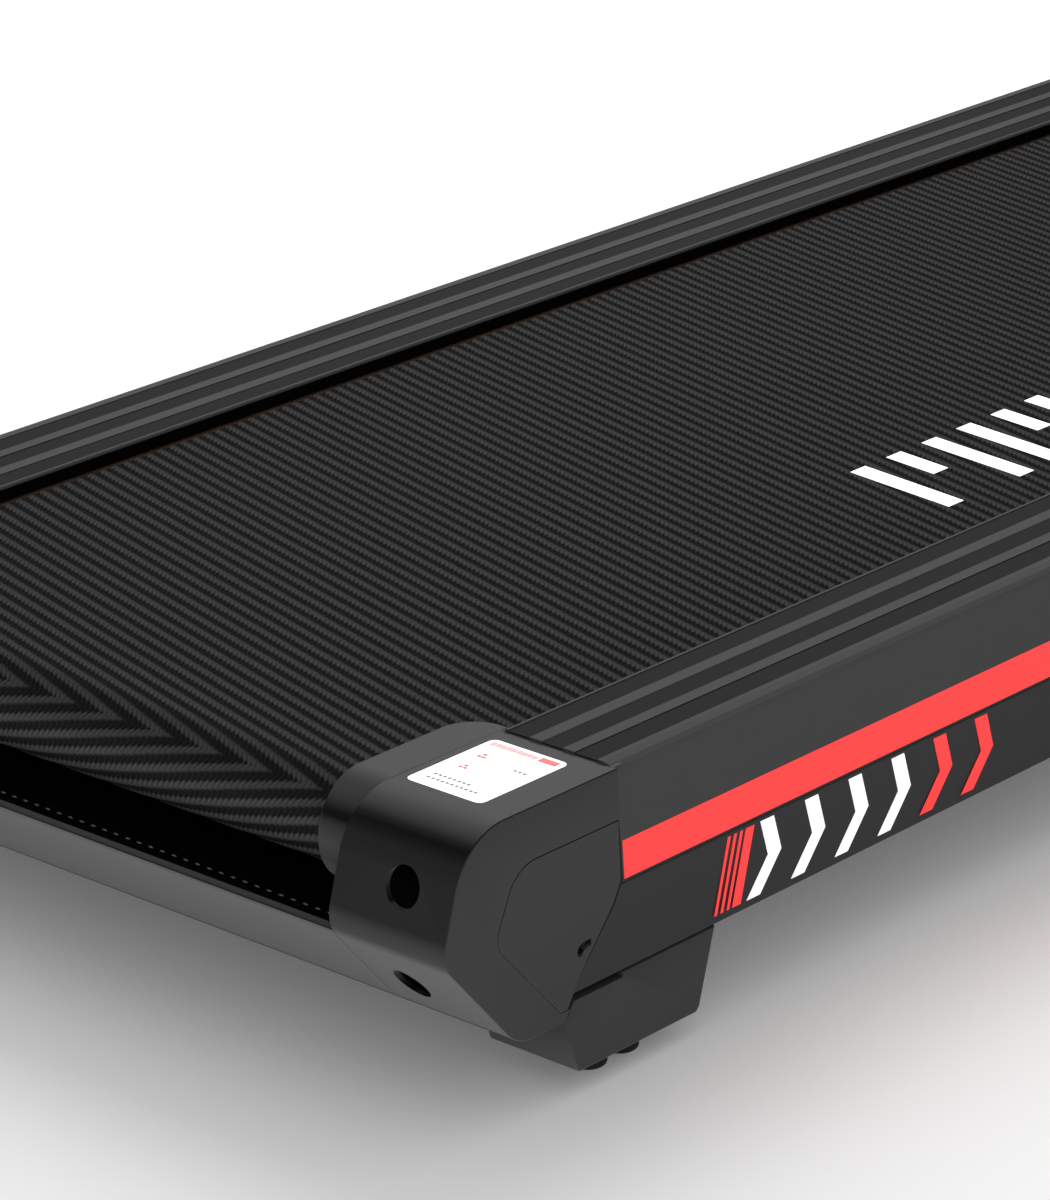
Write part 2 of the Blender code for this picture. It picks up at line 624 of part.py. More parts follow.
def make_belt():
    """The endless running belt, round both rollers."""
    loops = []
    for radius in (LOOP_RADIUS, ROLLER_RADIUS + GAP):
        rear = arc((REAR_ROLLER, AXIS_Z), radius, 90.0, 270.0, 24)
        front = arc((FRONT_AXIS, AXIS_Z), radius, -90.0, 90.0, 24)
        loops.append(rear + front)
    prism("running_belt", loops, "X", -BELT_WIDTH / 2, BELT_WIDTH / 2, "belt_rubber")


def make_rollers():
    rear = [(AXLE_RADIUS + RUN_GAP, 0.0), (ROLLER_RADIUS - 0.002, 0.0), (ROLLER_RADIUS, 0.002),
            (ROLLER_RADIUS, 2 * ROLLER_HALF - 0.002), (ROLLER_RADIUS - 0.002, 2 * ROLLER_HALF),
            (AXLE_RADIUS + RUN_GAP, 2 * ROLLER_HALF)]
    turned("rear_roller", rear[::-1], (-ROLLER_HALF, REAR_ROLLER, AXIS_Z), (0, REAR_ROLLER, AXIS_Z), "steel")
    end = BOLT_X + 0.009
    axle = cylinder("rear_axle", (-end, REAR_ROLLER, AXIS_Z), (end, REAR_ROLLER, AXIS_Z), AXLE_RADIUS,
                    "steel", 28)
    for side, sign in SIDES:
        x = sign * BOLT_X
        cut(axle, cylinder(f"axle_bolt_hole_{side}", (x, REAR_ROLLER - 0.02, AXIS_Z),
                           (x, REAR_ROLLER + 0.02, AXIS_Z), BOLT_RADIUS + RUN_GAP, sides=20))
        reach = BOLT_FRONT - BOLT_REAR
        shank = [(0.0, reach), (BOLT_RADIUS, reach), (BOLT_RADIUS, BOLT_HEAD_DEPTH),
                 (BOLT_HEAD, BOLT_HEAD_DEPTH), (BOLT_HEAD, 0.0), (0.0, 0.0)]
        bolt = turned(f"belt_bolt_{side}", shank, (x, BOLT_REAR, AXIS_Z), (x, BOLT_FRONT, AXIS_Z),
                      "steel", 18)
        socket, depth = BOLT_SOCKET
        cut(bolt, cylinder(f"bolt_socket_{side}", (x, BOLT_REAR - 0.002, AXIS_Z),
                           (x, BOLT_REAR + depth, AXIS_Z), socket, sides=6))
    full = ROLLER_HALF + PULLEY_OUT - PULLEY_WIDTH
    shift = PULLEY_OUT - PULLEY_WIDTH - ROLLER_HALF
    front = [(0.0, 0.0), (PULLEY_RADIUS, 0.0), (PULLEY_RADIUS, PULLEY_WIDTH), (0.010, PULLEY_WIDTH),
             (0.010, PULLEY_WIDTH + shift), (ROLLER_RADIUS, PULLEY_WIDTH + shift),
             (ROLLER_RADIUS, PULLEY_WIDTH + full), (0.0, PULLEY_WIDTH + full)]
    turned("front_roller", front[::-1], (-PULLEY_OUT, FRONT_AXIS, AXIS_Z), (0, FRONT_AXIS, AXIS_Z), "steel")


def make_foot(side, sign):
    """Moulded foot under the rear of the rail, on two rubber pads."""
    (low_rear, low_front) = FOOT_BOTTOM
    top = RAIL_TOP - RAIL_HEIGHT - GAP
    cap_low = RAIL_TOP - CAP_DEPTH
    (cap_rear, _), (cap_next, next_drop) = CAP_FRONT[:2]
    slope = (cap_next - cap_rear) / (next_drop + CAP_DEPTH)
    cap_edge = cap_rear + slope * (top - cap_low)
    loop = [(cap_edge + 3 * GAP, top), (FOOT_FRONT, top), (low_front + 0.002, FOOT_UNDER + 0.004),
            (low_front - 0.003, FOOT_UNDER), (low_rear + 0.004, FOOT_UNDER), (low_rear, FOOT_UNDER + 0.004),
            (cap_rear + 3 * GAP, cap_low)]
    body = prism(f"rear_foot_{side}", [loop], "X", *span(sign, HALF - 0.001 - FOOT_WIDTH, HALF - 0.001),
                 "cap_plastic")
    round_edges(body, 0.0018, 1, 50.0)
    for name, (along, radius) in zip(("rear", "front"), PADS):
        x = sign * (HALF - PAD_INSET)
        cylinder(f"foot_pad_{name}_{side}", (x, along, 0.0), (x, along, FOOT_UNDER - GAP), radius, "rubber",
                 24, 0.0012)


# ---- drive and motor cover --------------------------------------------------------------------

def make_drive():
    start, end = MOTOR_SPAN
    motor = cylinder("motor", (start, MOTOR_AXIS, MOTOR_HEIGHT), (end, MOTOR_AXIS, MOTOR_HEIGHT),
                     MOTOR_RADIUS, "motor_metal", 36, 0.004)
    cut(motor, cylinder("motor_bore", (start - 0.01, MOTOR_AXIS, MOTOR_HEIGHT),
                        (start + 0.030, MOTOR_AXIS, MOTOR_HEIGHT), 0.009, sides=20))
    wheel_start = PULLEY_WIDTH + 0.004
    wheel_end = wheel_start + FLYWHEEL_WIDTH
    shaft_end = PULLEY_OUT + start + 0.022
    rotor = [(0.0, 0.0), (PINION_RADIUS, 0.0), (PINION_RADIUS, PULLEY_WIDTH), (0.008, PULLEY_WIDTH),
             (0.008, wheel_start), (FLYWHEEL_RADIUS, wheel_start), (FLYWHEEL_RADIUS, wheel_end),
             (0.008, wheel_end), (0.008, shaft_end), (0.0, shaft_end)]
    turned("motor_pulley", rotor[::-1], (-PULLEY_OUT, MOTOR_AXIS, MOTOR_HEIGHT),
           (0, MOTOR_AXIS, MOTOR_HEIGHT), "steel")
    loops = [drive_loop(RUN_GAP + DRIVE_BELT_THICK), drive_loop(RUN_GAP)]
    prism("drive_belt", loops, "X", -PULLEY_OUT + 0.0015, -PULLEY_OUT + PULLEY_WIDTH - 0.0015, "rubber")
    plate_rear, plate_front = MOTOR_AXIS - 0.085, MOTOR_AXIS + 0.065
    plate = box("motor_plate", (-TUBE_IN + GAP, plate_rear, PLATE_HEIGHT - PLATE_THICK),
                (TUBE_IN - GAP, plate_front, PLATE_HEIGHT), "painted_steel")
    belt_slot = box("plate_belt_slot", (-TUBE_IN - 0.01, plate_rear - 0.01, PLATE_HEIGHT - 0.02),
                    (start - 0.002, MOTOR_AXIS + FLYWHEEL_RADIUS + 0.006, PLATE_HEIGHT + 0.02))
    cut(plate, belt_slot)


def drive_loop(grow):
    """The line of a belt round the roller pulley and the motor's pinion, grown by a thickness."""
    big, small = PULLEY_RADIUS + grow, PINION_RADIUS + grow
    across = Vector((MOTOR_AXIS - FRONT_AXIS, MOTOR_HEIGHT - AXIS_Z))
    heading = math.degrees(math.atan2(across.y, across.x))
    wrap = math.degrees(math.acos((big - small) / across.length))
    loop = arc((FRONT_AXIS, AXIS_Z), big, heading + wrap, heading + 360.0 - wrap, 18)
    return loop + arc((MOTOR_AXIS, MOTOR_HEIGHT), small, heading - wrap, heading + wrap, 8)


def make_motor_cover():
    """A moulded shell over the drive, open underneath and towards the belt."""
    crest = [(RUN_LENGTH + y, z) for y, z in HOOD_PROFILE]
    front = crest[-1][0]
    half = HALF - 0.0035
    outline = crest + [(front - 0.010, HOOD_SKIRT), (RUN_LENGTH, HOOD_SKIRT)]
    cover = prism("motor_cover", [outline], "X", -half, half, "cover_plastic")
    round_edges(cover, HOOD_ROUND, 3, 60.0)
    inside = offset(crest, -HOOD_WALL, closed=False)
    rear_low = (RUN_LENGTH - 0.05, inside[0][1] - 0.004)
    below = HOOD_SKIRT - 0.02
    hollow = [rear_low] + inside[1:] + [(inside[-1][0], below), (RUN_LENGTH - 0.05, below)]
    cut(cover, prism("cover_hollow", [hollow], "X", -half + HOOD_WALL, half - HOOD_WALL))
    for side, sign in SIDES:
        cut(cover, cylinder(f"cover_pivot_{side}", (sign * (half - 0.01), PIVOT, PIVOT_HEIGHT),
                            (sign * (half + 0.01), PIVOT, PIVOT_HEIGHT), PIVOT_RADIUS + 0.003))
    for name, x, (width, height) in (("switch", SWITCH_X, SWITCH_SIZE), ("inlet", INLET_X, INLET_SIZE)):
        across, up = width / 2 + RUN_GAP, height / 2 + RUN_GAP
        cut(cover, box(f"{name}_window", (x - across, front - 0.02, SWITCH_Z - up),
                       (x + across, front + 0.02, SWITCH_Z + up)))
    make_switch(front)
    make_inlet(front)


def make_switch(front):
    """Rocker that tips about its middle, with one half proud of the cover."""
    width, height = SWITCH_SIZE
    half = height / 2 - GAP
    face = front - 0.0005
    loop = [(face - 0.004, SWITCH_Z - half), (face - 0.0005, SWITCH_Z - half), (face, SWITCH_Z),
            (face - 0.002, SWITCH_Z + half), (face - 0.006, SWITCH_Z + half), (face - 0.008, SWITCH_Z)]
    prism("power_switch", [loop], "X", SWITCH_X - width / 2, SWITCH_X + width / 2, "red_plastic")


def make_inlet(front):
    """Power inlet with a plain pocket."""
    width, height = INLET_SIZE
    low = (INLET_X - width / 2, front - INLET_DEPTH, SWITCH_Z - height / 2)
    high = (INLET_X + width / 2, front - 0.0005, SWITCH_Z + height / 2)
    inlet = box("power_inlet", low, high, "console_plastic", 0.001)
    mouth = rounded_loop(width - 2 * INLET_RIM, height - 2 * INLET_RIM, 0.002, (INLET_X, SWITCH_Z))
    cut(inlet, prism("inlet_pocket", [mouth], "Y", front - INLET_DEPTH + INLET_RIM, front + 0.01))


# ---- floor frame ------------------------------------------------------------------------------

def make_floor_tube(side, sign):
    """Floor tube with the fold pivot's bracket and pin, and the wheel's stub axle."""
    centre = (sign * (BASE_IN + BASE_OUT) / 2, (BASE_BOTTOM + BASE_TOP) / 2)
    height = BASE_TOP - BASE_BOTTOM
    loops = [rounded_loop(BASE_WIDTH, height, 0.006, centre, 2),
             rounded_loop(BASE_WIDTH - 2 * BASE_WALL, height - 2 * BASE_WALL, 0.004, centre, 2)]
    tube = prism(f"floor_tube_{side}", loops, "Y", PIVOT - BASE_REAR, PIVOT + BASE_FRONT, "painted_steel")
    wall = [(PIVOT - BRACKET_REAR, BASE_BOTTOM + 0.006), (PIVOT + BRACKET_FRONT, BASE_BOTTOM + 0.006)]
    wall += arc((PIVOT, PIVOT_HEIGHT), 0.024, 0.0, 180.0, 10)
    faces = span(sign, BASE_IN - BRACKET_THICK, BASE_IN + 0.0015)
    bracket = prism(f"pivot_bracket_{side}", [wall], "X", *faces)
    join(tube, bracket)
    pin = cylinder(f"pivot_pin_{side}", (sign * (TUBE_IN + 0.004), PIVOT, PIVOT_HEIGHT),
                   (sign * (BASE_IN + 0.009), PIVOT, PIVOT_HEIGHT), PIVOT_RADIUS)
    wheel_y = PIVOT + WHEEL_AHEAD
    axle = cylinder(f"wheel_axle_{side}", (sign * (BASE_IN - WHEEL_WIDTH - 0.012), wheel_y, WHEEL_RADIUS),
                    (sign * (BASE_IN + 0.001), wheel_y, WHEEL_RADIUS), WHEEL_AXLE, sides=24)
    join(tube, pin, axle)
    width, depth = FLOOR_PAD
    y = PIVOT - BASE_REAR + 0.042
    box(f"floor_pad_{side}", (centre[0] - width / 2, y - depth / 2, 0.0),
        (centre[0] + width / 2, y + depth / 2, BASE_BOTTOM - GAP), "rubber", 0.0015)


def make_wheel(side, sign):
    bore = WHEEL_AXLE + RUN_GAP
    profile = [(bore, 0.0), (0.013, 0.0), (0.014, 0.004), (0.022, 0.004), (0.023, 0.0), (WHEEL_RADIUS, 0.002),
               (WHEEL_RADIUS, WHEEL_WIDTH - 0.002), (0.023, WHEEL_WIDTH), (bore, WHEEL_WIDTH)]
    y = PIVOT + WHEEL_AHEAD
    far = sign * (BASE_IN - WHEEL_WIDTH - 0.007)
    turned(f"wheel_{side}", profile[::-1], (far, y, WHEEL_RADIUS), (sign * BASE_IN, y, WHEEL_RADIUS),
           "rubber", 32)


def base_cross(name, middle):
    """Square tube across the floor frame."""
    height = BASE_CROSS_TOP - BASE_BOTTOM
    centre = (middle, (BASE_BOTTOM + BASE_CROSS_TOP) / 2)
    inner = 2 * BASE_WALL
    half = BASE_IN - GAP
    return prism(name, [rounded_loop(BASE_CROSS, height, 0.005, centre, 2),
                        rounded_loop(BASE_CROSS - inner, height - inner, 0.003, centre, 2)],
                 "X", -half, half, "painted_steel")


def make_base_crosses():
    """The rear one carries a two-eared bracket and a pin for the strut's lower eye."""
    base_cross("base_cross_front", PIVOT - BRACKET_REAR - GAP - BASE_CROSS / 2)
    middle = PIVOT - STRUT_BEHIND
    cross = base_cross("base_cross_strut", middle)
    ear_low = EYE_WIDTH / 2 + EAR_CLEAR
    for side, sign in SIDES:
        ear = [(middle - 0.014, BASE_CROSS_TOP - 0.001), (middle + 0.014, BASE_CROSS_TOP - 0.001)]
        ear += arc((middle, STRUT_HEIGHT), EYE_RADIUS, 0.0, 180.0, 8)
        join(cross, prism(f"strut_ear_{side}", [ear], "X", *span(sign, ear_low, ear_low + LUG_THICK)))
    reach = ear_low + LUG_THICK + 0.004
    join(cross, cylinder("strut_pin", (-reach, middle, STRUT_HEIGHT), (reach, middle, STRUT_HEIGHT),
                         EYE_PIN, sides=24))


def make_strut():
    """Gas strut: the cylinder on the floor frame and the rod to the deck's lug."""
    start = Vector((0.0, PIVOT - STRUT_BEHIND, STRUT_HEIGHT))
    end = Vector((0.0, CROSS_PLACE, STRUT_TOP_HEIGHT))
    line = (end - start).normalized()
    total = (end - start).length
    bore = ROD_RADIUS + RUN_GAP
    profile = [(0.0, EYE_RADIUS - 0.003), (0.007, EYE_RADIUS - 0.003), (0.009, 0.022),
               (STRUT_RADIUS, 0.028), (STRUT_RADIUS, STRUT_LENGTH - 0.003),
               (STRUT_RADIUS - 0.003, STRUT_LENGTH), (bore, STRUT_LENGTH), (bore, STRUT_BORE_START),
               (0.0, STRUT_BORE_START)]
    body = turned("strut_cylinder", profile[::-1], start, end, "painted_steel", 28)
    ring(body, "cylinder_eye", start)
    rod_end = total - EYE_RADIUS + 0.003
    line_of_rod = [(0.0, rod_end), (ROD_RADIUS, rod_end), (ROD_RADIUS, ROD_START), (0.0, ROD_START)]
    rod = turned("strut_rod", line_of_rod, start, end, "steel", 24)
    ring(rod, "rod_eye", end)
    make_release(body, start + line * (STRUT_LENGTH - 0.030))


def ring(obj, name, centre):
    """An eye on a strut's end, bored for its pin."""
    half = EYE_WIDTH / 2
    join(obj, cylinder(name, centre - Vector((half, 0, 0)), centre + Vector((half, 0, 0)), EYE_RADIUS, sides=28))
    cut(obj, cylinder(f"{name}_bore", centre - Vector((half + 0.01, 0, 0)),
                      centre + Vector((half + 0.01, 0, 0)), EYE_PIN + RUN_GAP, sides=24))


def make_release(body, collar):
    """Foot lever on a boss beside the strut that frees its lock."""
    x = STRUT_RADIUS + 0.002
    y, z = collar.y, collar.z
    boss = RELEASE_BOSS
    join(body, cylinder("release_boss", (x - 0.006, y, z), (x + 0.009, y, z), boss, sides=20))
    loop = arc((y, z), 0.009, 30.0, 330.0, 12)
    loop += [(y + 0.052, z - 0.012), (y + 0.056, z - 0.006), (y + 0.052, z)]
    lever = prism("release_lever", [loop], "X", x, x + 0.006, "red_plastic")
    join(lever, box("lever_tread", (x, y + 0.040, z - 0.010), (x + 0.030, y + 0.055, z - 0.003)))
    cut(lever, cylinder("lever_bore", (x - 0.01, y, z), (x + 0.02, y, z), boss + RUN_GAP, sides=20))


# ---- uprights, handrails and console ----------------------------------------------------------

def upright_y(height):
    """The upright's centre line, along the treadmill, at a height."""
    share = (height - BASE_TOP) / (UPRIGHT_TOP - BASE_TOP)
    return RUN_LENGTH + UPRIGHT_FOOT + UPRIGHT_LEAN * share


def make_upright(side, sign):
    """Leaning oval tube that stands on the floor tube."""
    foot = upright_y(BASE_TOP)
    frame, lean = upright_frame(sign)
    length = (UPRIGHT_TOP - BASE_TOP) / math.cos(lean)
    tube = prism(f"upright_{side}", [upright_loop(0.0), upright_loop(-TUBE_WALL)], "Z", -0.02, length,
                 "painted_steel", frame)
    cut(tube, box(f"upright_foot_{side}", (sign * UPRIGHT_X - 0.05, foot - 0.1, BASE_TOP - 0.1),
                  (sign * UPRIGHT_X + 0.05, foot + 0.1, BASE_TOP + GAP)))
    lid = prism(f"upright_lid_{side}", [upright_loop(-TUBE_WALL / 2)], "Z", length - 0.006, length - 0.0005,
                matrix=frame)
    join(tube, lid)


def upright_frame(sign):
    """Origin at the upright's foot, Z up its leaning centre line."""
    lean = math.atan2(UPRIGHT_LEAN, UPRIGHT_TOP - BASE_TOP)
    foot = (sign * UPRIGHT_X, upright_y(BASE_TOP), BASE_TOP)
    return Matrix.Translation(foot) @ Matrix.Rotation(-lean, 4, "X"), lean


def upright_loop(grow):
    """The upright's oval section, grown by a distance."""
    corner = UPRIGHT_WIDTH / 2 - 0.0005 + grow
    return rounded_loop(UPRIGHT_WIDTH + 2 * grow, UPRIGHT_DEPTH + 2 * grow, corner, steps=6)


def make_handrail(side, sign):
    """Bar that runs back from the upright, ending in a foam grip."""
    x = sign * UPRIGHT_X
    start = upright_y(RAIL_BAR_HEIGHT) - UPRIGHT_DEPTH / 4
    knee = start - RAIL_BAR_REACH + GRIP_LENGTH + 0.020
    bend = arc((knee, RAIL_BAR_HEIGHT - 0.12), 0.12, 90.0, 105.0, 4)
    last, before = Vector(bend[-1]), Vector(bend[-2])
    tail = last + (last - before).normalized() * (GRIP_LENGTH + 0.004)
    points = [(x, start, RAIL_BAR_HEIGHT)] + [(x, y, z) for y, z in bend] + [(x, tail.x, tail.y)]
    bar = pipe(f"handrail_{side}", points, RAIL_BAR_RADIUS, "painted_steel")
    frame, _ = upright_frame(sign)
    cut(bar, prism(f"handrail_end_{side}", [upright_loop(GAP)], "Z", 0.2, 1.2, matrix=frame))
    bore = RAIL_BAR_RADIUS + GAP
    profile = [(bore, 0.0), (GRIP_RADIUS - 0.002, 0.0), (GRIP_RADIUS, 0.003),
               (GRIP_RADIUS, GRIP_LENGTH - 0.003), (GRIP_RADIUS - 0.002, GRIP_LENGTH), (bore, GRIP_LENGTH)]
    first = (x, last.x, last.y)
    turned(f"grip_{side}", profile[::-1], first, (x, tail.x, tail.y), "foam", 32)


def console_frame():
    """Origin in the middle of the console's face, X across, Y up the slope, Z out of the face."""
    place_at = Matrix.Translation((0.0, RUN_LENGTH + CONSOLE_AHEAD, CONSOLE_HEIGHT))
    return place_at @ Matrix.Rotation(math.radians(CONSOLE_TILT), 4, "X")


def make_console():
    frame = console_frame()
    half, depth = CONSOLE_HALF, CONSOLE_DEPTH / 2
    shell = box("console_housing", (-half, -depth, -CONSOLE_THICK), (half, depth, 0.0), "console_plastic",
                CONSOLE_ROUND, frame)
    wall = CONSOLE_WALL
    cut(shell, box("console_hollow", (-half + wall, -depth + wall, -CONSOLE_THICK + wall),
                   (half - wall, depth - wall, 0.02), matrix=frame))
    width, height, rise = SCREEN
    panel = prism("console_panel", [rounded_loop(2 * half - 0.004, CONSOLE_DEPTH - 0.004, 0.012)], "Z",
                  GAP, PANEL_THICK, "cover_plastic", frame)
    across, up = width / 2 + GAP, height / 2 + GAP
    holes = [box("screen_window", (-across, rise - up, -0.01), (across, rise + up, 0.02), matrix=frame)]
    box("display_screen", (-width / 2, rise - height / 2, PANEL_THICK - 0.0035),
        (width / 2, rise + height / 2, PANEL_THICK - 0.0005), "screen", matrix=frame)
    for name, x, slot in KEYS:
        holes.append(cylinder(f"{name}_hole", (x, KEY_ROW, -0.01), (x, KEY_ROW, 0.02),
                              KEY_RADIUS + RUN_GAP, sides=28, matrix=frame))
        cylinder(name, (x, KEY_ROW, PANEL_THICK - 0.004), (x, KEY_ROW, PANEL_THICK + KEY_PROUD), KEY_RADIUS,
                 slot, 24, 0.0008, frame)
    x, length, across = ROCKER
    slot_low = (x - length / 2 - RUN_GAP, KEY_ROW - across / 2 - RUN_GAP, -0.01)
    slot_high = (x + length / 2 + RUN_GAP, KEY_ROW + across / 2 + RUN_GAP, 0.02)
    holes.append(box("rocker_slot", slot_low, slot_high, matrix=frame))
    end = length / 2
    rocker = [(x - end, PANEL_THICK - 0.002), (x, PANEL_THICK - 0.0035), (x + end, PANEL_THICK - 0.002),
              (x + end, PANEL_THICK + KEY_PROUD), (x, PANEL_THICK + 0.0005), (x - end, PANEL_THICK + KEY_PROUD)]
    prism("speed_key", [rocker], "Y", KEY_ROW - across / 2, KEY_ROW + across / 2,
          "key_plastic", frame)
    holes.append(cylinder("safety_socket", (0, SAFETY_PLACE, PANEL_THICK - 0.003),
                          (0, SAFETY_PLACE, 0.02), SAFETY_RADIUS + RUN_GAP, sides=28, matrix=frame))
    cut(panel, *holes)
    key = cylinder("safety_key", (0, SAFETY_PLACE, PANEL_THICK - 0.0025),
                   (0, SAFETY_PLACE, PANEL_THICK + 0.004), SAFETY_RADIUS, "red_plastic", 28, 0.0008, frame)
    join(key, box("safety_tab", (-0.006, SAFETY_PLACE - 0.010, PANEL_THICK + 0.003),
                  (0.006, SAFETY_PLACE + 0.010, PANEL_THICK + 0.012), matrix=frame))
    reach = UPRIGHT_X - UPRIGHT_WIDTH / 2 - GAP
    y = RUN_LENGTH + CONSOLE_AHEAD
    for side, sign in SIDES:
        make_tray(side, sign, reach, y)


def make_tray(side, sign, reach, y):
    """Cup holder between the console and the upright."""
    near = CONSOLE_HALF + GAP
    low, high = span(sign, near, reach)
    bottom = TRAY_TOP - TRAY_HEIGHT
    tray = box(f"cup_tray_{side}", (low, y - TRAY_DEPTH / 2, bottom), (high, y + TRAY_DEPTH / 2, TRAY_TOP),
               "console_plastic", 0.006)
    middle = (low + high) / 2
    cut(tray, cylinder(f"cup_well_{side}", (middle, y, TRAY_TOP - CUP_DEPTH), (middle, y, TRAY_TOP + 0.01),
                       CUP_RADIUS, sides=32))


for side_name, side_sign in SIDES:
    make_rail(side_name, side_sign)
    make_side_tube(side_name, side_sign)
    make_cap(side_name, side_sign)
    make_guard(side_name, side_sign)
    make_foot(side_name, side_sign)
    make_floor_tube(side_name, side_sign)
    make_wheel(side_name, side_sign)
    make_upright(side_name, side_sign)
    make_handrail(side_name, side_sign)
make_board()
make_cross_member()
make_rear_beam()
make_belt()
make_rollers()
make_drive()
make_motor_cover()
make_base_crosses()
make_strut()
make_console()
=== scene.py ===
import math

import bmesh
import bpy
from mathutils import Matrix, Vector


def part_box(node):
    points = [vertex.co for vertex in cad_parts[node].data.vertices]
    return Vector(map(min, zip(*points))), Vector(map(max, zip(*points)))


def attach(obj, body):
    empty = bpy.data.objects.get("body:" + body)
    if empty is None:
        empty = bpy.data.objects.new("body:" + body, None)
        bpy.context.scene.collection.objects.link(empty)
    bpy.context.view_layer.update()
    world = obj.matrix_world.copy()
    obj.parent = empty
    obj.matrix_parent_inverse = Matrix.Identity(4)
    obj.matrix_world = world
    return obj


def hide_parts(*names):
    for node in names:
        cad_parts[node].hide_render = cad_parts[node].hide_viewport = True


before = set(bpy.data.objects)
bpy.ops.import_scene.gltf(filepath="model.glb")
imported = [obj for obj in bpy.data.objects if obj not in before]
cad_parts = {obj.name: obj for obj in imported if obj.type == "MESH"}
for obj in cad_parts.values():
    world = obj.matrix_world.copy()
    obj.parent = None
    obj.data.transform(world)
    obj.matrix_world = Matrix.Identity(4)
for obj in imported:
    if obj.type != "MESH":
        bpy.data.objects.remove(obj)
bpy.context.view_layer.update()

sides = (("left", -1), ("right", 1))
mm = 0.001


# ---- small tools

def hexToLinear(code):
    # "#rrggbb" as sRGB, returned as linear colour with alpha
    parts = [int(code[i:i + 2], 16) / 255 for i in (1, 3, 5)]
    return tuple(c / 12.92 if c <= 0.04045 else ((c + 0.055) / 1.055) ** 2.4 for c in parts) + (1.0,)


def addNode(material, kind, values=None, links=None, **settings):
    # one node with its settings, its socket values and the sockets that feed it
    node = material.node_tree.nodes.new(kind)
    for key, value in settings.items():
        setattr(node, key, value)
    for key, value in (values or {}).items():
        node.inputs[key].default_value = value
    for key, source in (links or {}).items():
        material.node_tree.links.new(source, node.inputs[key])
    return node


def newMaterial(name, **values):
    # a material and its shader; a keyword is a socket's name, with _ for a space
    material = bpy.data.materials.new(name)
    material.use_nodes = True
    surface = material.node_tree.nodes["Principled BSDF"]
    for key, value in values.items():
        surface.inputs[key.replace("_", " ")].default_value = value
    return material, surface


def join(material, source, surface, socket):
    # feeds one of the shader's sockets
    material.node_tree.links.new(source, surface.inputs[socket])


def setRamp(node, stops, interpolation="LINEAR"):
    # stops are (place, linear colour) from left to right
    ramp = node.color_ramp
    ramp.interpolation = interpolation
    while len(ramp.elements) > 1:
        ramp.elements.remove(ramp.elements[-1])
    ramp.elements[0].position = stops[0][0]
    ramp.elements[0].color = stops[0][1]
    for place, colour in stops[1:]:
        ramp.elements.new(place).color = colour


def grain(material, surface, size, depth, detail=2.0, roughnessSpread=0.0, roughness=0.5, colours=None):
    # fine surface grain: size is the width of one grain in metres, depth its height
    where = addNode(material, "ShaderNodeTexCoord").outputs["Object"]
    noise = addNode(material, "ShaderNodeTexNoise", {"Scale": 1 / size, "Detail": detail}, {"Vector": where})
    bump = addNode(material, "ShaderNodeBump", {"Strength": 0.6, "Distance": depth},
                   {"Height": noise.outputs["Fac"]})
    join(material, bump.outputs["Normal"], surface, "Normal")
    if roughnessSpread:
        spread = addNode(material, "ShaderNodeMapRange",
                         {"To Min": roughness - roughnessSpread, "To Max": roughness + roughnessSpread},
                         {"Value": noise.outputs["Fac"]})
        join(material, spread.outputs["Result"], surface, "Roughness")
    if colours:
        cloud = addNode(material, "ShaderNodeTexNoise", {"Scale": 1 / (size * 40), "Detail": 3.0},
                        {"Vector": where})
        ramp = addNode(material, "ShaderNodeValToRGB", links={"Fac": cloud.outputs["Fac"]})
        setRamp(ramp, [(0.3, hexToLinear(colours[0])), (0.7, hexToLinear(colours[1]))])
        join(material, ramp.outputs["Color"], surface, "Base Color")
    return noise


def newPiece(name, shape, material, body, replaced=(), sharp=35.0):
    # turns a bmesh into a piece that rides on a body
    bmesh.ops.recalc_face_normals(shape, faces=shape.faces)
    mesh = bpy.data.meshes.new(name)
    shape.to_mesh(mesh)
    shape.free()
    mesh.shade_smooth()
    mesh.set_sharp_from_angle(angle=math.radians(sharp))
    piece = bpy.data.objects.new(name, mesh)
    bpy.context.scene.collection.objects.link(piece)
    mesh.materials.append(material)
    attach(piece, body)
    if replaced:
        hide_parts(*replaced)
    return piece


def softEdges(piece, width, segments=3, angle=30.0, weighted=False):
    # rounds the edges sharper than the angle, or those that carry a bevel weight
    bevel = piece.modifiers.new("softEdges", "BEVEL")
    bevel.width = width
    bevel.segments = segments
    bevel.limit_method = "WEIGHT" if weighted else "ANGLE"
    bevel.angle_limit = math.radians(angle)


def arc(centre, radius, start, end, steps):
    # points from one angle to another, in degrees anticlockwise from the first axis
    angles = [math.radians(start + (end - start) * i / steps) for i in range(steps + 1)]
    return [(centre[0] + radius * math.cos(a), centre[1] + radius * math.sin(a)) for a in angles]


def offset(loop, distance, closed=True):
    # the outline moved to its left, corner by corner
    count = len(loop)
    moved = []
    for i, point in enumerate(loop):
        before = loop[i - 1] if closed or i else None
        after = loop[(i + 1) % count] if closed or i < count - 1 else None
        normals = []
        for a, b in ((before, point), (point, after)):
            if a is not None and b is not None:
                edge = Vector((b[0] - a[0], b[1] - a[1])).normalized()
                normals.append(Vector((-edge.y, edge.x)))
        normal = sum(normals, Vector((0.0, 0.0))).normalized()
        stretch = distance / max(0.5, normal.dot(normals[0]))
        moved.append((point[0] + normal.x * stretch, point[1] + normal.y * stretch))
    return moved


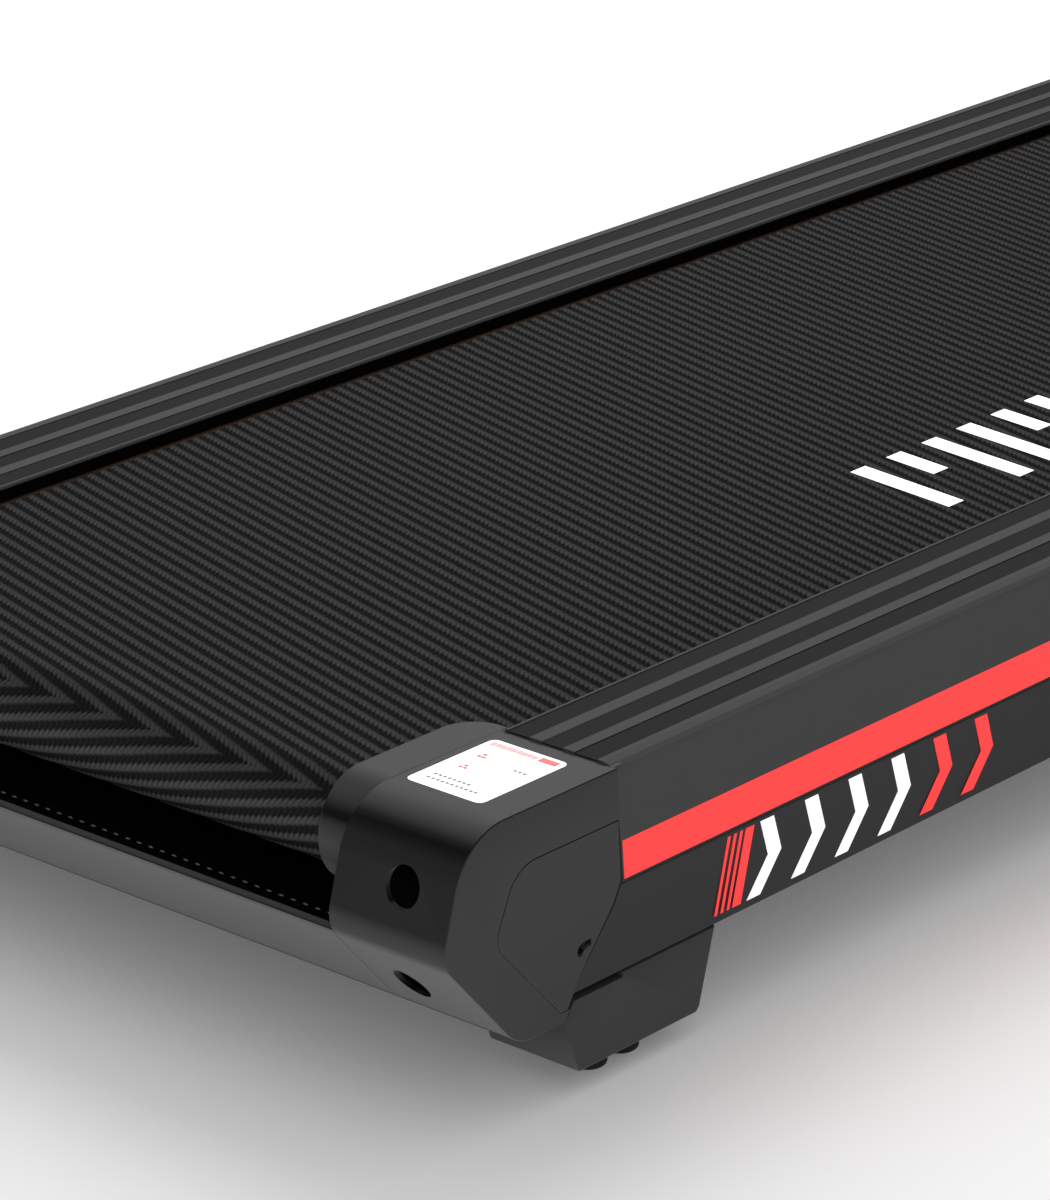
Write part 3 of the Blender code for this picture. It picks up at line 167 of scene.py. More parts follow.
def slab(loop, low, high, axis="X"):
    # an outline extruded along one axis; X takes (y, z), Y takes (x, z), Z takes (x, y)
    shape = bmesh.new()
    order = {"X": (2, 0, 1), "Y": (0, 2, 1), "Z": (0, 1, 2)}[axis]
    ends = []
    for w in (low, high):
        points = [(u, v, w) for u, v in loop]
        ends.append([shape.verts.new([point[k] for k in order]) for point in points])
    for i in range(len(loop)):
        j = (i + 1) % len(loop)
        shape.faces.new((ends[0][i], ends[0][j], ends[1][j], ends[1][i]))
    shape.faces.new(ends[0][::-1])
    shape.faces.new(ends[1])
    return shape


def transformed(shape, matrix):
    bmesh.ops.transform(shape, matrix=matrix, verts=shape.verts)
    return shape


def rod(start, end, radius, segments=32):
    # a round bar from one point to another
    start, end = Vector(start), Vector(end)
    line = end - start
    shape = bmesh.new()
    bmesh.ops.create_cone(shape, cap_ends=True, segments=segments, radius1=radius, radius2=radius,
                          depth=line.length)
    turn = line.to_track_quat("Z", "Y").to_matrix().to_4x4()
    return transformed(shape, Matrix.Translation((start + end) / 2) @ turn)


def turned(profile, centre, steps=48, axis="Z"):
    # a profile of (radius, height) turned about the X or Z axis through the centre; a closed one is welded
    shape = bmesh.new()
    angles = [math.tau * i / steps for i in range(steps)]
    rings = []
    for radius, height in profile:
        if radius < 1e-6:
            rings.append([shape.verts.new((0.0, 0.0, height))])
            continue
        rings.append([shape.verts.new((radius * math.cos(a), radius * math.sin(a), height)) for a in angles])
    for a, b in zip(rings, rings[1:]):
        for i in range(steps):
            j = (i + 1) % steps
            corners = [a[i % len(a)], a[j % len(a)], b[j % len(b)], b[i % len(b)]]
            shape.faces.new(list(dict.fromkeys(corners)))
    turn = Matrix.Rotation(math.pi / 2, 4, "Y") if axis == "X" else Matrix()
    transformed(shape, Matrix.Translation(centre) @ turn)
    if profile[0] == profile[-1]:
        bmesh.ops.remove_doubles(shape, verts=shape.verts, dist=1e-6)
    return shape


def addBlock(shape, centre, size):
    # a box added to a shape; its corners are returned
    made = bmesh.ops.create_cube(shape, size=1.0)["verts"]
    bmesh.ops.scale(shape, vec=size, verts=made)
    bmesh.ops.translate(shape, vec=centre, verts=made)
    return made


def carve(piece, name, shape):
    # sets up a cut in a piece; bake applies it and removes the cutter returned here
    bmesh.ops.recalc_face_normals(shape, faces=shape.faces)
    mesh = bpy.data.meshes.new(name)
    shape.to_mesh(mesh)
    shape.free()
    cutter = bpy.data.objects.new(name, mesh)
    bpy.context.scene.collection.objects.link(cutter)
    boolean = piece.modifiers.new(name, "BOOLEAN")
    boolean.operation = "DIFFERENCE"
    boolean.solver = "EXACT"
    boolean.object = cutter
    return cutter


def bake(piece, cutters=(), sharp=35.0):
    # applies a piece's modifiers and removes its cutters
    graph = bpy.context.evaluated_depsgraph_get()
    graph.update()
    mesh = bpy.data.meshes.new_from_object(piece.evaluated_get(graph))
    piece.modifiers.clear()
    piece.data = mesh
    for cutter in cutters:
        bpy.data.objects.remove(cutter)
    mesh.shade_smooth()
    mesh.set_sharp_from_angle(angle=math.radians(sharp))


def span(sign, near, far):
    # the lower and upper X of something between two distances from the middle, on one side
    return tuple(sorted((sign * near, sign * far)))


# ---- camera, light and floor

cameraSettings = {
    "place": (1.836, -2.5764, 1.170),
    "turn": (69.152, 0.0, 41.017),      # degrees
    "lens": 157.2,
    "farClip": 60.0,
}
lightSettings = {
    "world": "#ffffff",
    "dome": (0.28, 0.72),      # strength straight down and straight up
    "floor": "#f2f2f2",
    "floorHalf": 14.0,
    "floorDrop": 0.5 * mm,     # keeps the floor clear of the feet
    "floorGlow": 0.11,
    "key": {"place": (-1.8, 2.2, 3.0), "aim": (0.1, -0.5, 0.1), "size": (3.0, 3.0), "power": 150.0},
    "fill": {"place": (3.2, -1.6, 1.7), "aim": (0.3, -0.5, 0.1), "size": (2.0, 2.0), "power": 8.0},
}


def makeCamera():
    camera = bpy.data.objects.new("camera", bpy.data.cameras.new("camera"))
    bpy.context.scene.collection.objects.link(camera)
    camera.location = cameraSettings["place"]
    camera.rotation_euler = [math.radians(a) for a in cameraSettings["turn"]]
    camera.data.lens = cameraSettings["lens"]
    camera.data.clip_end = cameraSettings["farClip"]
    bpy.context.scene.camera = camera


def makeLights():
    world = bpy.data.worlds.new("studio")
    bpy.context.scene.world = world
    world.use_nodes = True
    background = world.node_tree.nodes["Background"]
    background.inputs["Color"].default_value = hexToLinear(lightSettings["world"])
    # a dome that is brightest overhead and dims towards the horizon
    direction = addNode(world, "ShaderNodeTexCoord").outputs["Generated"]
    height = addNode(world, "ShaderNodeSeparateXYZ", links={"Vector": direction}).outputs["Z"]
    low, high = lightSettings["dome"]
    dome = addNode(world, "ShaderNodeMapRange", {"To Min": low, "To Max": high}, {"Value": height})
    world.node_tree.links.new(dome.outputs["Result"], background.inputs["Strength"])
    for name in ("key", "fill"):
        spec = lightSettings[name]
        data = bpy.data.lights.new(name, "AREA")
        data.shape = "RECTANGLE"
        data.size, data.size_y = spec["size"]
        data.energy = spec["power"]
        lamp = bpy.data.objects.new(name, data)
        bpy.context.scene.collection.objects.link(lamp)
        lamp.location = spec["place"]
        line = Vector(spec["aim"]) - Vector(spec["place"])
        lamp.rotation_euler = line.to_track_quat("-Z", "Y").to_euler()


def makeFloor():
    shape = bmesh.new()
    bmesh.ops.create_grid(shape, x_segments=2, y_segments=2, size=lightSettings["floorHalf"])
    mesh = bpy.data.meshes.new("floor")
    shape.to_mesh(mesh)
    shape.free()
    floor = bpy.data.objects.new("floor", mesh)
    bpy.context.scene.collection.objects.link(floor)
    floor.location.z = -lightSettings["floorDrop"]
    material, surface = newMaterial("matteStudioPaper", Roughness=0.95)
    surface.inputs["Specular IOR Level"].default_value = 0.1
    surface.inputs["Base Color"].default_value = hexToLinear(lightSettings["floor"])
    surface.inputs["Emission Color"].default_value = hexToLinear("#ffffff")
    surface.inputs["Emission Strength"].default_value = lightSettings["floorGlow"]
    mesh.materials.append(material)


bpy.context.scene.view_settings.view_transform = "Standard"
makeCamera()
makeLights()
makeFloor()
print("camera, lights and floor are in place")


# ---- what the pieces share, read from the frame

capLow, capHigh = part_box("end_cap_right")
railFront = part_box("rail_right")[1].y
beltLow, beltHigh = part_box("running_belt")
rollerLow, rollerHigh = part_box("rear_roller")
boltLow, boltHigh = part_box("belt_bolt_right")
deckHalf = capHigh.x
railTop = capHigh.z              # the rail's outer top edge is level with the caps
rearEnd = capLow.y


def along(distance):
    # distance forward of the caps' rear face
    return rearEnd + distance


def fromTop(height):
    # height above the rail's top, so negative below it
    return railTop + height


# ---- materials

railLook = {                   # lengths in mm
    "treadEdges": (12.5, 27.0, 35.0, 48.5, 57.0, 71.0),      # from the outer face
    "width": 73.5,
    "depth": 120,
    "ridge": "#4d4d4e",
    "strip": "#262627",
    "side": "#4f4f50",
    "lower": "#434344",
    "shade": "#060606",
    "stripeLow": -61.8,
    "stripeHigh": -40.5,
    "flankShare": 0.028,       # outermost share of the width, which belongs to the flank
    "flankTop": -1.2,
    "innerTop": -0.4,          # the inner wall is in shade below this
    "dieLines": 1250.0,        # per metre, 0.8 mm apart
    "pores": 1400.0,
}


def makeRailPvc():
    # rigid PVC, extruded: a dull sheen with faint lines along its length, and softer grip strips; the flank
    # carries painted light above the stripe and painted shade below it
    look = railLook
    material, surface = newMaterial("extrudedPvcRail", Roughness=0.65, IOR=1.52)
    surface.inputs["Specular IOR Level"].default_value = 0.015
    where = addNode(material, "ShaderNodeTexCoord").outputs["Object"]
    split = addNode(material, "ShaderNodeSeparateXYZ", links={"Vector": where})
    across = addNode(material, "ShaderNodeMath", links={0: split.outputs["X"]}, operation="ABSOLUTE")
    inset = addNode(material, "ShaderNodeMapRange",
                    {"From Min": deckHalf, "From Max": deckHalf - look["width"] * mm},
                    {"Value": across.outputs["Value"]})
    tread = addNode(material, "ShaderNodeValToRGB", links={"Fac": inset.outputs["Result"]})
    tones = [hexToLinear(look["ridge"]), hexToLinear(look["strip"])]
    stops = [(0.0, tones[0])]
    for i, edge in enumerate(look["treadEdges"]):
        stops.append((edge / look["width"], tones[(i + 1) % 2]))
    setRamp(tread, stops, "CONSTANT")
    depth = look["depth"]
    height = addNode(material, "ShaderNodeMapRange",
                     {"From Min": fromTop(-depth * mm), "From Max": railTop}, {"Value": split.outputs["Z"]})
    # painted light and shade: the flank is lighter above the stripe and darker below it, standing for light
    # on its upper face and shade on its lower, recessed face
    flank = addNode(material, "ShaderNodeValToRGB", links={"Fac": height.outputs["Result"]})
    stripeShare = (depth + look["stripeLow"]) / depth
    setRamp(flank, [(0.0, hexToLinear(look["lower"])), (stripeShare, hexToLinear(look["side"]))], "CONSTANT")
    outer = addNode(material, "ShaderNodeMath", {1: look["flankShare"]}, {0: inset.outputs["Result"]},
                    operation="LESS_THAN")
    low = addNode(material, "ShaderNodeMath", {1: fromTop(look["flankTop"] * mm)}, {0: split.outputs["Z"]},
                  operation="LESS_THAN")
    onFlank = addNode(material, "ShaderNodeMath", links={0: outer.outputs[0], 1: low.outputs[0]},
                      operation="MULTIPLY")
    mixed = addNode(material, "ShaderNodeMix", data_type="RGBA",
                    links={"Factor": onFlank.outputs[0], "A": tread.outputs["Color"],
                           "B": flank.outputs["Color"]})
    inner = addNode(material, "ShaderNodeMath", {1: 0.5}, {0: inset.outputs["Result"]},
                    operation="GREATER_THAN")
    wall = addNode(material, "ShaderNodeMath", {1: fromTop(look["innerTop"] * mm)}, {0: split.outputs["Z"]},
                   operation="LESS_THAN")
    inShade = addNode(material, "ShaderNodeMath", links={0: inner.outputs[0], 1: wall.outputs[0]},
                      operation="MULTIPLY")
    final = addNode(material, "ShaderNodeMix", data_type="RGBA",
                    links={"Factor": inShade.outputs[0], "A": mixed.outputs["Result"]})
    final.inputs["B"].default_value = hexToLinear(look["shade"])
    join(material, final.outputs["Result"], surface, "Base Color")
    # die lines run along the rail, drawn out along Y, among fine pores
    stretched = addNode(material, "ShaderNodeMapping", {"Scale": (1.0, 0.01, 1.0)}, {"Vector": where})
    lines = addNode(material, "ShaderNodeTexNoise", {"Scale": look["dieLines"], "Detail": 2.0},
                    {"Vector": stretched.outputs["Vector"]})
    pores = addNode(material, "ShaderNodeTexNoise", {"Scale": look["pores"]}, {"Vector": where})
    both = addNode(material, "ShaderNodeMath", links={0: lines.outputs["Fac"], 1: pores.outputs["Fac"]},
                   operation="ADD")
    bump = addNode(material, "ShaderNodeBump", {"Strength": 0.35, "Distance": 0.15 * mm},
                   {"Height": both.outputs[0]})
    join(material, bump.outputs["Normal"], surface, "Normal")
    return material


def makeAbs(name, dark, light, roughness=0.5, grainSize=0.9, depth=0.06):
    # ABS, moulded in a spark-eroded tool: an even fine grain that breaks up the shine
    material, surface = newMaterial(name, IOR=1.53)
    grain(material, surface, grainSize * mm, depth * mm, 2.0, 0.06, roughness, (dark, light))
    return material


# painted light and shade by the lean of a face, -1 faces down, 0 is upright, 1 faces up: lower slopes painted
# lighter, dark bands painted reflections
underPaintedBounceTones = ((-1.0, "#262627"), (-0.8, "#3c3c3d"), (-0.68, "#7c7c7d"), (-0.6, "#747475"), (-0.35, "#505051"))
capPaintedLightTones = underPaintedBounceTones + (
    (0.0, "#474748"), (0.16, "#3a3a3b"), (0.3, "#2d2d2e"), (0.58, "#262627"), (0.66, "#1a1a1b"),
    (0.74, "#0e0e0f"), (0.8, "#212122"), (0.85, "#363637"), (0.9, "#424243"),
    (0.97, "#454546"), (1.0, "#3e3e3f"),
)
guardPaintedLightTones = underPaintedBounceTones + (
    (0.0, "#515152"), (0.3, "#3c3c3d"), (0.42, "#121213"), (0.5, "#131314"), (0.68, "#3c3c3d"),
    (0.8, "#414142"), (1.0, "#3d3d3e"),
)


def makeAbsWithPaintedLight(name, tones):
    # ABS, moulded and half polished, with painted light and shade: faces that lean up and down take different
    # painted tones, with a painted dark reflection line where a top edge rolls over, and a fine spark-eroded
    # grain of 0.7 mm
    material, surface = newMaterial(name, IOR=1.53)
    grain(material, surface, 0.7 * mm, 0.05 * mm, 2.0, 0.05, 0.52)
    surface.inputs["Specular IOR Level"].default_value = 0.05
    # the colour ramp below paints light and shade onto each face by its lean
    where = addNode(material, "ShaderNodeTexCoord")
    lean = addNode(material, "ShaderNodeSeparateXYZ", links={"Vector": where.outputs["Normal"]})
    place = addNode(material, "ShaderNodeMapRange", {"From Min": -1.0}, {"Value": lean.outputs["Z"]})
    ramp = addNode(material, "ShaderNodeValToRGB", links={"Fac": place.outputs["Result"]})
    setRamp(ramp, [((height + 1) / 2, hexToLinear(tone)) for height, tone in tones])
    join(material, ramp.outputs["Color"], surface, "Base Color")
    return material


def makeRubber(name, dark, light):
    # moulded EPDM rubber: almost no shine, slightly chalky
    material, surface = newMaterial(name, IOR=1.52)
    surface.inputs["Specular IOR Level"].default_value = 0.35
    grain(material, surface, 0.7 * mm, 0.05 * mm, 3.0, 0.05, 0.82, (dark, light))
    return material


def makeSteelTurned():
    # mild steel, turned: fine rings round the axis stretch the highlights across
    material, surface = newMaterial("turnedSteel", Metallic=1.0, Roughness=0.28)
    surface.inputs["Base Color"].default_value = hexToLinear("#a8a9ab")
    where = addNode(material, "ShaderNodeTexCoord").outputs["Object"]
    stretched = addNode(material, "ShaderNodeMapping", {"Scale": (1.0, 0.03, 0.03)}, {"Vector": where})
    rings = addNode(material, "ShaderNodeTexNoise", {"Scale": 2500.0, "Detail": 2.0},
                    {"Vector": stretched.outputs["Vector"]})
    spread = addNode(material, "ShaderNodeMapRange", {"To Min": 0.2, "To Max": 0.42},
                     {"Value": rings.outputs["Fac"]})
    join(material, spread.outputs["Result"], surface, "Roughness")
    bump = addNode(material, "ShaderNodeBump", {"Strength": 0.2, "Distance": 0.03 * mm},
                   {"Height": rings.outputs["Fac"]})
    join(material, bump.outputs["Normal"], surface, "Normal")
    return material


def makePowderCoat():
    # steel tube with a black powder coat: a soft sheen over a slight orange peel
    material, surface = newMaterial("powderCoatedSteel", IOR=1.5)
    surface.inputs["Coat Weight"].default_value = 0.15
    surface.inputs["Coat Roughness"].default_value = 0.3
    grain(material, surface, 2.2 * mm, 0.12 * mm, 3.0, 0.05, 0.42, ("#2b2c2e", "#303134"))
    return material


def makeZincSteel():
    # steel sheet, zinc plated: grey with pale and dark patches
    material, surface = newMaterial("zincPlatedSteel", Metallic=1.0)
    grain(material, surface, 1.6 * mm, 0.03 * mm, 3.0, 0.08, 0.4, ("#7d7f82", "#94969a"))
    return material


def makeBlackSteel():
    # steel, blackened in hot oxide and oiled: nearly black with a thin brown-blue bloom
    material, surface = newMaterial("blackenedSteel", Metallic=1.0)
    grain(material, surface, 1.1 * mm, 0.03 * mm, 3.0, 0.08, 0.45, ("#141416", "#1f1e1f"))
    return material


def makeFibreboard():
    # wood fibreboard with a waxed phenolic face: dark brown, slightly glossy, with short fibres
    material, surface = newMaterial("waxedFibreboard", IOR=1.5)
    grain(material, surface, 0.8 * mm, 0.05 * mm, 4.0, 0.08, 0.4, ("#3a2a1f", "#4d3829"))
    return material


def makeSmokedGlass():
    # acrylic sheet, tinted black: a clear hard shine over a dark ground
    material, surface = newMaterial("smokedAcrylic", IOR=1.49)
    grain(material, surface, 3.0 * mm, 0.004 * mm, 1.0, 0.02, 0.1, ("#0a0b0d", "#0d0e11"))
    return material


def makeRedLed():
    # light-emitting diodes behind red film, lit evenly with a slight flicker of tone
    material, surface = newMaterial("redLedSegment", IOR=1.5)
    noise = grain(material, surface, 0.8 * mm, 0.01 * mm, 1.0, 0.02, 0.3)
    ramp = addNode(material, "ShaderNodeValToRGB", links={"Fac": noise.outputs["Fac"]})
    setRamp(ramp, [(0.3, hexToLinear("#ff2a1f")), (0.7, hexToLinear("#ff4a38"))])
    join(material, ramp.outputs["Color"], surface, "Base Color")
    surface.inputs["Emission Color"].default_value = hexToLinear("#ff3a2a")
    surface.inputs["Emission Strength"].default_value = 0.8
    return material


def makeShadeSheetMaterial():
    # a black sheet with a fine felt-like grain, put in as painted shade in the gap below the rear roller
    material, surface = newMaterial("blackPaintedShadeSheet", IOR=1.45, Roughness=0.98)
    surface.inputs["Specular IOR Level"].default_value = 0.05
    grain(material, surface, 0.5 * mm, 0.2 * mm, 3.0, colours=("#030303", "#070707"))
    return material


def makeFoam():
    # closed-cell foam, extruded as a sleeve: matt, with small round cells
    material, surface = newMaterial("closedCellFoam", IOR=1.45, Roughness=0.9)
    surface.inputs["Specular IOR Level"].default_value = 0.25
    where = addNode(material, "ShaderNodeTexCoord").outputs["Object"]
    cells = addNode(material, "ShaderNodeTexVoronoi", {"Scale": 1 / (1.3 * mm)}, {"Vector": where})
    bump = addNode(material, "ShaderNodeBump", {"Strength": 0.7, "Distance": 0.25 * mm},
                   {"Height": cells.outputs["Distance"]})
    join(material, bump.outputs["Normal"], surface, "Normal")
    ramp = addNode(material, "ShaderNodeValToRGB", links={"Fac": cells.outputs["Distance"]})
    setRamp(ramp, [(0.0, hexToLinear("#161617")), (0.6, hexToLinear("#29292b"))])
    join(material, ramp.outputs["Color"], surface, "Base Color")
    return material


def makeVinyl(name, colour, roughness=0.45, paintedGlow=0.0):
    # printed vinyl film: flat bright colour with a faint ripple; paintedGlow is painted light, an emission
    # that makes the film brighter than the lamps alone
    material, surface = newMaterial(name, IOR=1.5, Roughness=roughness)
    base = hexToLinear(colour)
    surface.inputs["Emission Color"].default_value = base
    surface.inputs["Emission Strength"].default_value = paintedGlow
    where = addNode(material, "ShaderNodeTexCoord").outputs["Object"]
    noise = addNode(material, "ShaderNodeTexNoise", {"Scale": 900.0, "Detail": 2.0}, {"Vector": where})
    ramp = addNode(material, "ShaderNodeValToRGB", links={"Fac": noise.outputs["Fac"]})
    setRamp(ramp, [(0.3, tuple(c * 0.96 for c in base[:3]) + (1.0,)), (0.7, base)])
    join(material, ramp.outputs["Color"], surface, "Base Color")
    bump = addNode(material, "ShaderNodeBump", {"Strength": 0.15, "Distance": 0.05 * mm},
                   {"Height": noise.outputs["Fac"]})
    join(material, bump.outputs["Normal"], surface, "Normal")
    return material


beltLook = {
    "ribsAcross": 28.8,        # ribs per metre, counted across the belt
    "ribsAlong": 105.3,        # ribs per metre, counted along it
    "strokesAcross": 292.0,    # weave strokes per metre
    "strokesAlong": 158.5,
    "fuzz": 420.0,             # specks per metre
    "raggedness": (0.05, 0.1),      # how far strokes and specks shift a rib's edge, in ribs
    "groove": "#171718",
    "rib": "#373738",
    "strokeGain": (0.72, 1.15),     # brightness between strokes and on them
    # painted light: the next value brightens the belt where its face turns upright
    "uprightPaintedLight": 2.2,           # brightness on an upright stretch, against a flat one
    "ribHeight": 0.35 * mm,
    "foldAngle": 42.0,         # where the weave turns over the rear roller, degrees from the top
    "innerRadius": 24.0 * mm,  # of the belt's inner face over a roller
    "columns": 36,
}


def makeBeltPvc():
    # PVC belt cover, embossed with a twill of slanting ribs: matt grooves and slightly shinier ribs
    look = beltLook
    material, surface = newMaterial("embossedPvcBelt", IOR=1.5)
    surface.inputs["Specular IOR Level"].default_value = 0.01
    weave = addNode(material, "ShaderNodeAttribute", attribute_name="weave")
    split = addNode(material, "ShaderNodeSeparateXYZ", links={"Vector": weave.outputs["Vector"]})
    strokeTurn = addNode(material, "ShaderNodeMath", {1: math.tau}, {0: split.outputs["Y"]},
                         operation="MULTIPLY")
    stroke = addNode(material, "ShaderNodeMath", links={0: strokeTurn.outputs[0]}, operation="SINE")
    where = addNode(material, "ShaderNodeTexCoord").outputs["Object"]
    fuzz = addNode(material, "ShaderNodeTexNoise", {"Scale": look["fuzz"], "Detail": 2.0}, {"Vector": where})
    byStroke, bySpeck = look["raggedness"]
    ragged = addNode(material, "ShaderNodeMath", {1: byStroke}, {0: stroke.outputs[0]}, operation="MULTIPLY")
    fuzzy = addNode(material, "ShaderNodeMath", {1: bySpeck}, {0: fuzz.outputs["Fac"]}, operation="MULTIPLY")
    shifted = addNode(material, "ShaderNodeMath", links={0: split.outputs["X"], 1: ragged.outputs[0]})
    shifted = addNode(material, "ShaderNodeMath", links={0: shifted.outputs[0], 1: fuzzy.outputs[0]})
    turn = addNode(material, "ShaderNodeMath", {1: math.tau}, {0: shifted.outputs[0]}, operation="MULTIPLY")
    wave = addNode(material, "ShaderNodeMath", links={0: turn.outputs[0]}, operation="SINE")
    shade = addNode(material, "ShaderNodeMapRange", {"From Min": -0.8, "From Max": 0.8},
                    {"Value": wave.outputs[0]})
    ramp = addNode(material, "ShaderNodeValToRGB", links={"Fac": shade.outputs["Result"]})
    setRamp(ramp, [(0.35, hexToLinear(look["groove"])), (0.95, hexToLinear(look["rib"]))])
    between, onStroke = look["strokeGain"]
    gain = addNode(material, "ShaderNodeMapRange", {"From Min": -1.0, "To Min": between, "To Max": onStroke},
                   {"Value": stroke.outputs[0]})
    lit = addNode(material, "ShaderNodeVectorMath",
                  links={0: ramp.outputs["Color"], 1: gain.outputs["Result"]}, operation="MULTIPLY")
    # painted light: the belt is made lighter where its face turns upright over a roller
    normal = addNode(material, "ShaderNodeTexCoord").outputs["Normal"]
    lean = addNode(material, "ShaderNodeSeparateXYZ", links={"Vector": normal})
    paintedWrapLight = addNode(material, "ShaderNodeMapRange",
                     {"From Min": 0.95, "From Max": 0.1, "To Min": 1.0, "To Max": look["uprightPaintedLight"]},
                     {"Value": lean.outputs["Z"]})
    gained = addNode(material, "ShaderNodeVectorMath",
                     links={0: lit.outputs["Vector"], 1: paintedWrapLight.outputs["Result"]}, operation="MULTIPLY")
    join(material, gained.outputs["Vector"], surface, "Base Color")
    rough = addNode(material, "ShaderNodeMapRange", {"To Min": 0.85, "To Max": 0.62},
                    {"Value": shade.outputs["Result"]})
    join(material, rough.outputs["Result"], surface, "Roughness")
    detail = addNode(material, "ShaderNodeMath", links={0: shade.outputs["Result"], 1: fuzz.outputs["Fac"]},
                     operation="ADD")
    bump = addNode(material, "ShaderNodeBump", {"Strength": 0.5, "Distance": 0.12 * mm},
                   {"Height": detail.outputs[0]})
    join(material, bump.outputs["Normal"], surface, "Normal")
    return material


railPvc = makeRailPvc()
# these two carry painted light and shade, set by the lean of each face
capAbsPaintedLight = makeAbsWithPaintedLight("absCapWithPaintedLight", capPaintedLightTones)
guardAbsPaintedLight = makeAbsWithPaintedLight("absGuardWithPaintedLight", guardPaintedLightTones)
hoodAbs = makeAbs("mouldedAbsHood", "#2a2b2d", "#2e2f31", 0.42, 0.8, 0.04)
consoleAbs = makeAbs("mouldedAbsConsole", "#333437", "#38393c", 0.48, 0.8)
keyAbs = makeAbs("mouldedAbsKey", "#8f9295", "#999c9f", 0.42, 0.5, 0.02)
redAbs = makeAbs("mouldedRedAbs", "#c8201f", "#d42826", 0.38, 0.6, 0.02)
footRubber = makeRubber("mouldedRubberPad", "#191919", "#202020")
treadRubber = makeRubber("mouldedRubberWheel", "#202021", "#28282a")
beltPvc = makeBeltPvc()
turnedSteel = makeSteelTurned()
powderCoat = makePowderCoat()
zincSteel = makeZincSteel()
blackSteel = makeBlackSteel()
paintedShadeSheet = makeShadeSheetMaterial()
smokedGlass = makeSmokedGlass()
redLed = makeRedLed()
glossAbs = makeAbs("polishedAbs", "#141416", "#17171a", 0.22, 1.6, 0.01)
fibreboard = makeFibreboard()
gripFoam = makeFoam()
# the red and white films glow a little as painted light
redVinyl = makeVinyl("redVinylStripe", "#ff3434", 0.5, 0.42)
whiteVinyl = makeVinyl("whiteVinylMark", "#ffffff", 0.5, 0.45)
darkVinyl = makeVinyl("greyVinylMark", "#55565a")
pinkVinyl = makeVinyl("palePinkVinylMark", "#f4a9ad")
print("materials are ready")


# ---- running belt

def beltLine():
    # the belt's outer radius over a roller, the height of the rollers' axes, and how far along each lies
    radius = (beltHigh.z - beltLow.z) / 2
    axisZ = (beltHigh.z + beltLow.z) / 2
    rearY = beltLow.y + radius
    frontY = beltHigh.y - radius
    return radius, axisZ, rearY, frontY


def beltPoint(distance, radius):
    # a point at a distance round the belt from the weave's fold, forward over the top, on a line of this
    # radius round the rollers
    outer, axisZ, rearY, frontY = beltLine()
    fold = math.radians(beltLook["foldAngle"])
    legs = (outer * fold, frontY - rearY, outer * math.pi, frontY - rearY)
    if distance < legs[0]:
        angle = math.pi / 2 + fold - distance / outer
        return rearY + radius * math.cos(angle), axisZ + radius * math.sin(angle)
    distance -= legs[0]
    if distance < legs[1]:
        return rearY + distance, axisZ + radius
    distance -= legs[1]
    if distance < legs[2]:
        angle = math.pi / 2 - distance / outer
        return frontY + radius * math.cos(angle), axisZ + radius * math.sin(angle)
    distance -= legs[2]
    if distance < legs[3]:
        return frontY - distance, axisZ - radius
    angle = -math.pi / 2 - (distance - legs[3]) / outer
    return rearY + radius * math.cos(angle), axisZ + radius * math.sin(angle)


def ribSheet(shape, weave, length, ribsAlong, place):
    # a sheet whose rows follow the ribs, four rows to a rib, trimmed to its length and laid round the belt;
    # each vertex keeps where it lies in the weave
    look = beltLook
    half = beltHigh.x
    columns = look["columns"]
    first = math.floor(-4 * look["ribsAcross"] * half) - 1
    last = math.ceil(4 * (ribsAlong * length + look["ribsAcross"] * half)) + 1
    sheet = bmesh.new()
    rows = []
    for k in range(first, last + 1):
        row = []
        for j in range(columns + 1):
            x = -half + 2 * half * j / columns
            row.append(sheet.verts.new((x, (k / 4 - look["ribsAcross"] * x) / ribsAlong, 0.0)))
        rows.append(row)
    for a, b in zip(rows, rows[1:]):
        for j in range(columns):
            sheet.faces.new((a[j], a[j + 1], b[j + 1], b[j]))
    for edge, normal in ((0.0, -1.0), (length, 1.0)):
        geometry = sheet.verts[:] + sheet.edges[:] + sheet.faces[:]
        bmesh.ops.bisect_plane(sheet, geom=geometry, dist=1e-7, plane_co=(0, edge, 0),
                               plane_no=(0, normal, 0), clear_outer=True)
    radius = beltLine()[0]
    lookup = {}
    for vert in sheet.verts:
        x, s, _ = vert.co
        phase = ribsAlong * s + look["ribsAcross"] * x
        # a rib climbs over a quarter of its pitch, stays level for a quarter and falls over a quarter
        ridge = max(0.0, min(1.0, 2.0 - abs(phase % 1.0 - 0.375) * 8))
        lift = look["ribHeight"] * (ridge - 1.0)
        y, z = place(s, radius + lift)
        lookup[vert] = shape.verts.new((x, y, z))
        lookup[vert][weave] = (phase, look["strokesAlong"] * s + look["strokesAcross"] * x, 0.0)
    for face in sheet.faces:
        shape.faces.new([lookup[v] for v in face.verts])
    sheet.free()


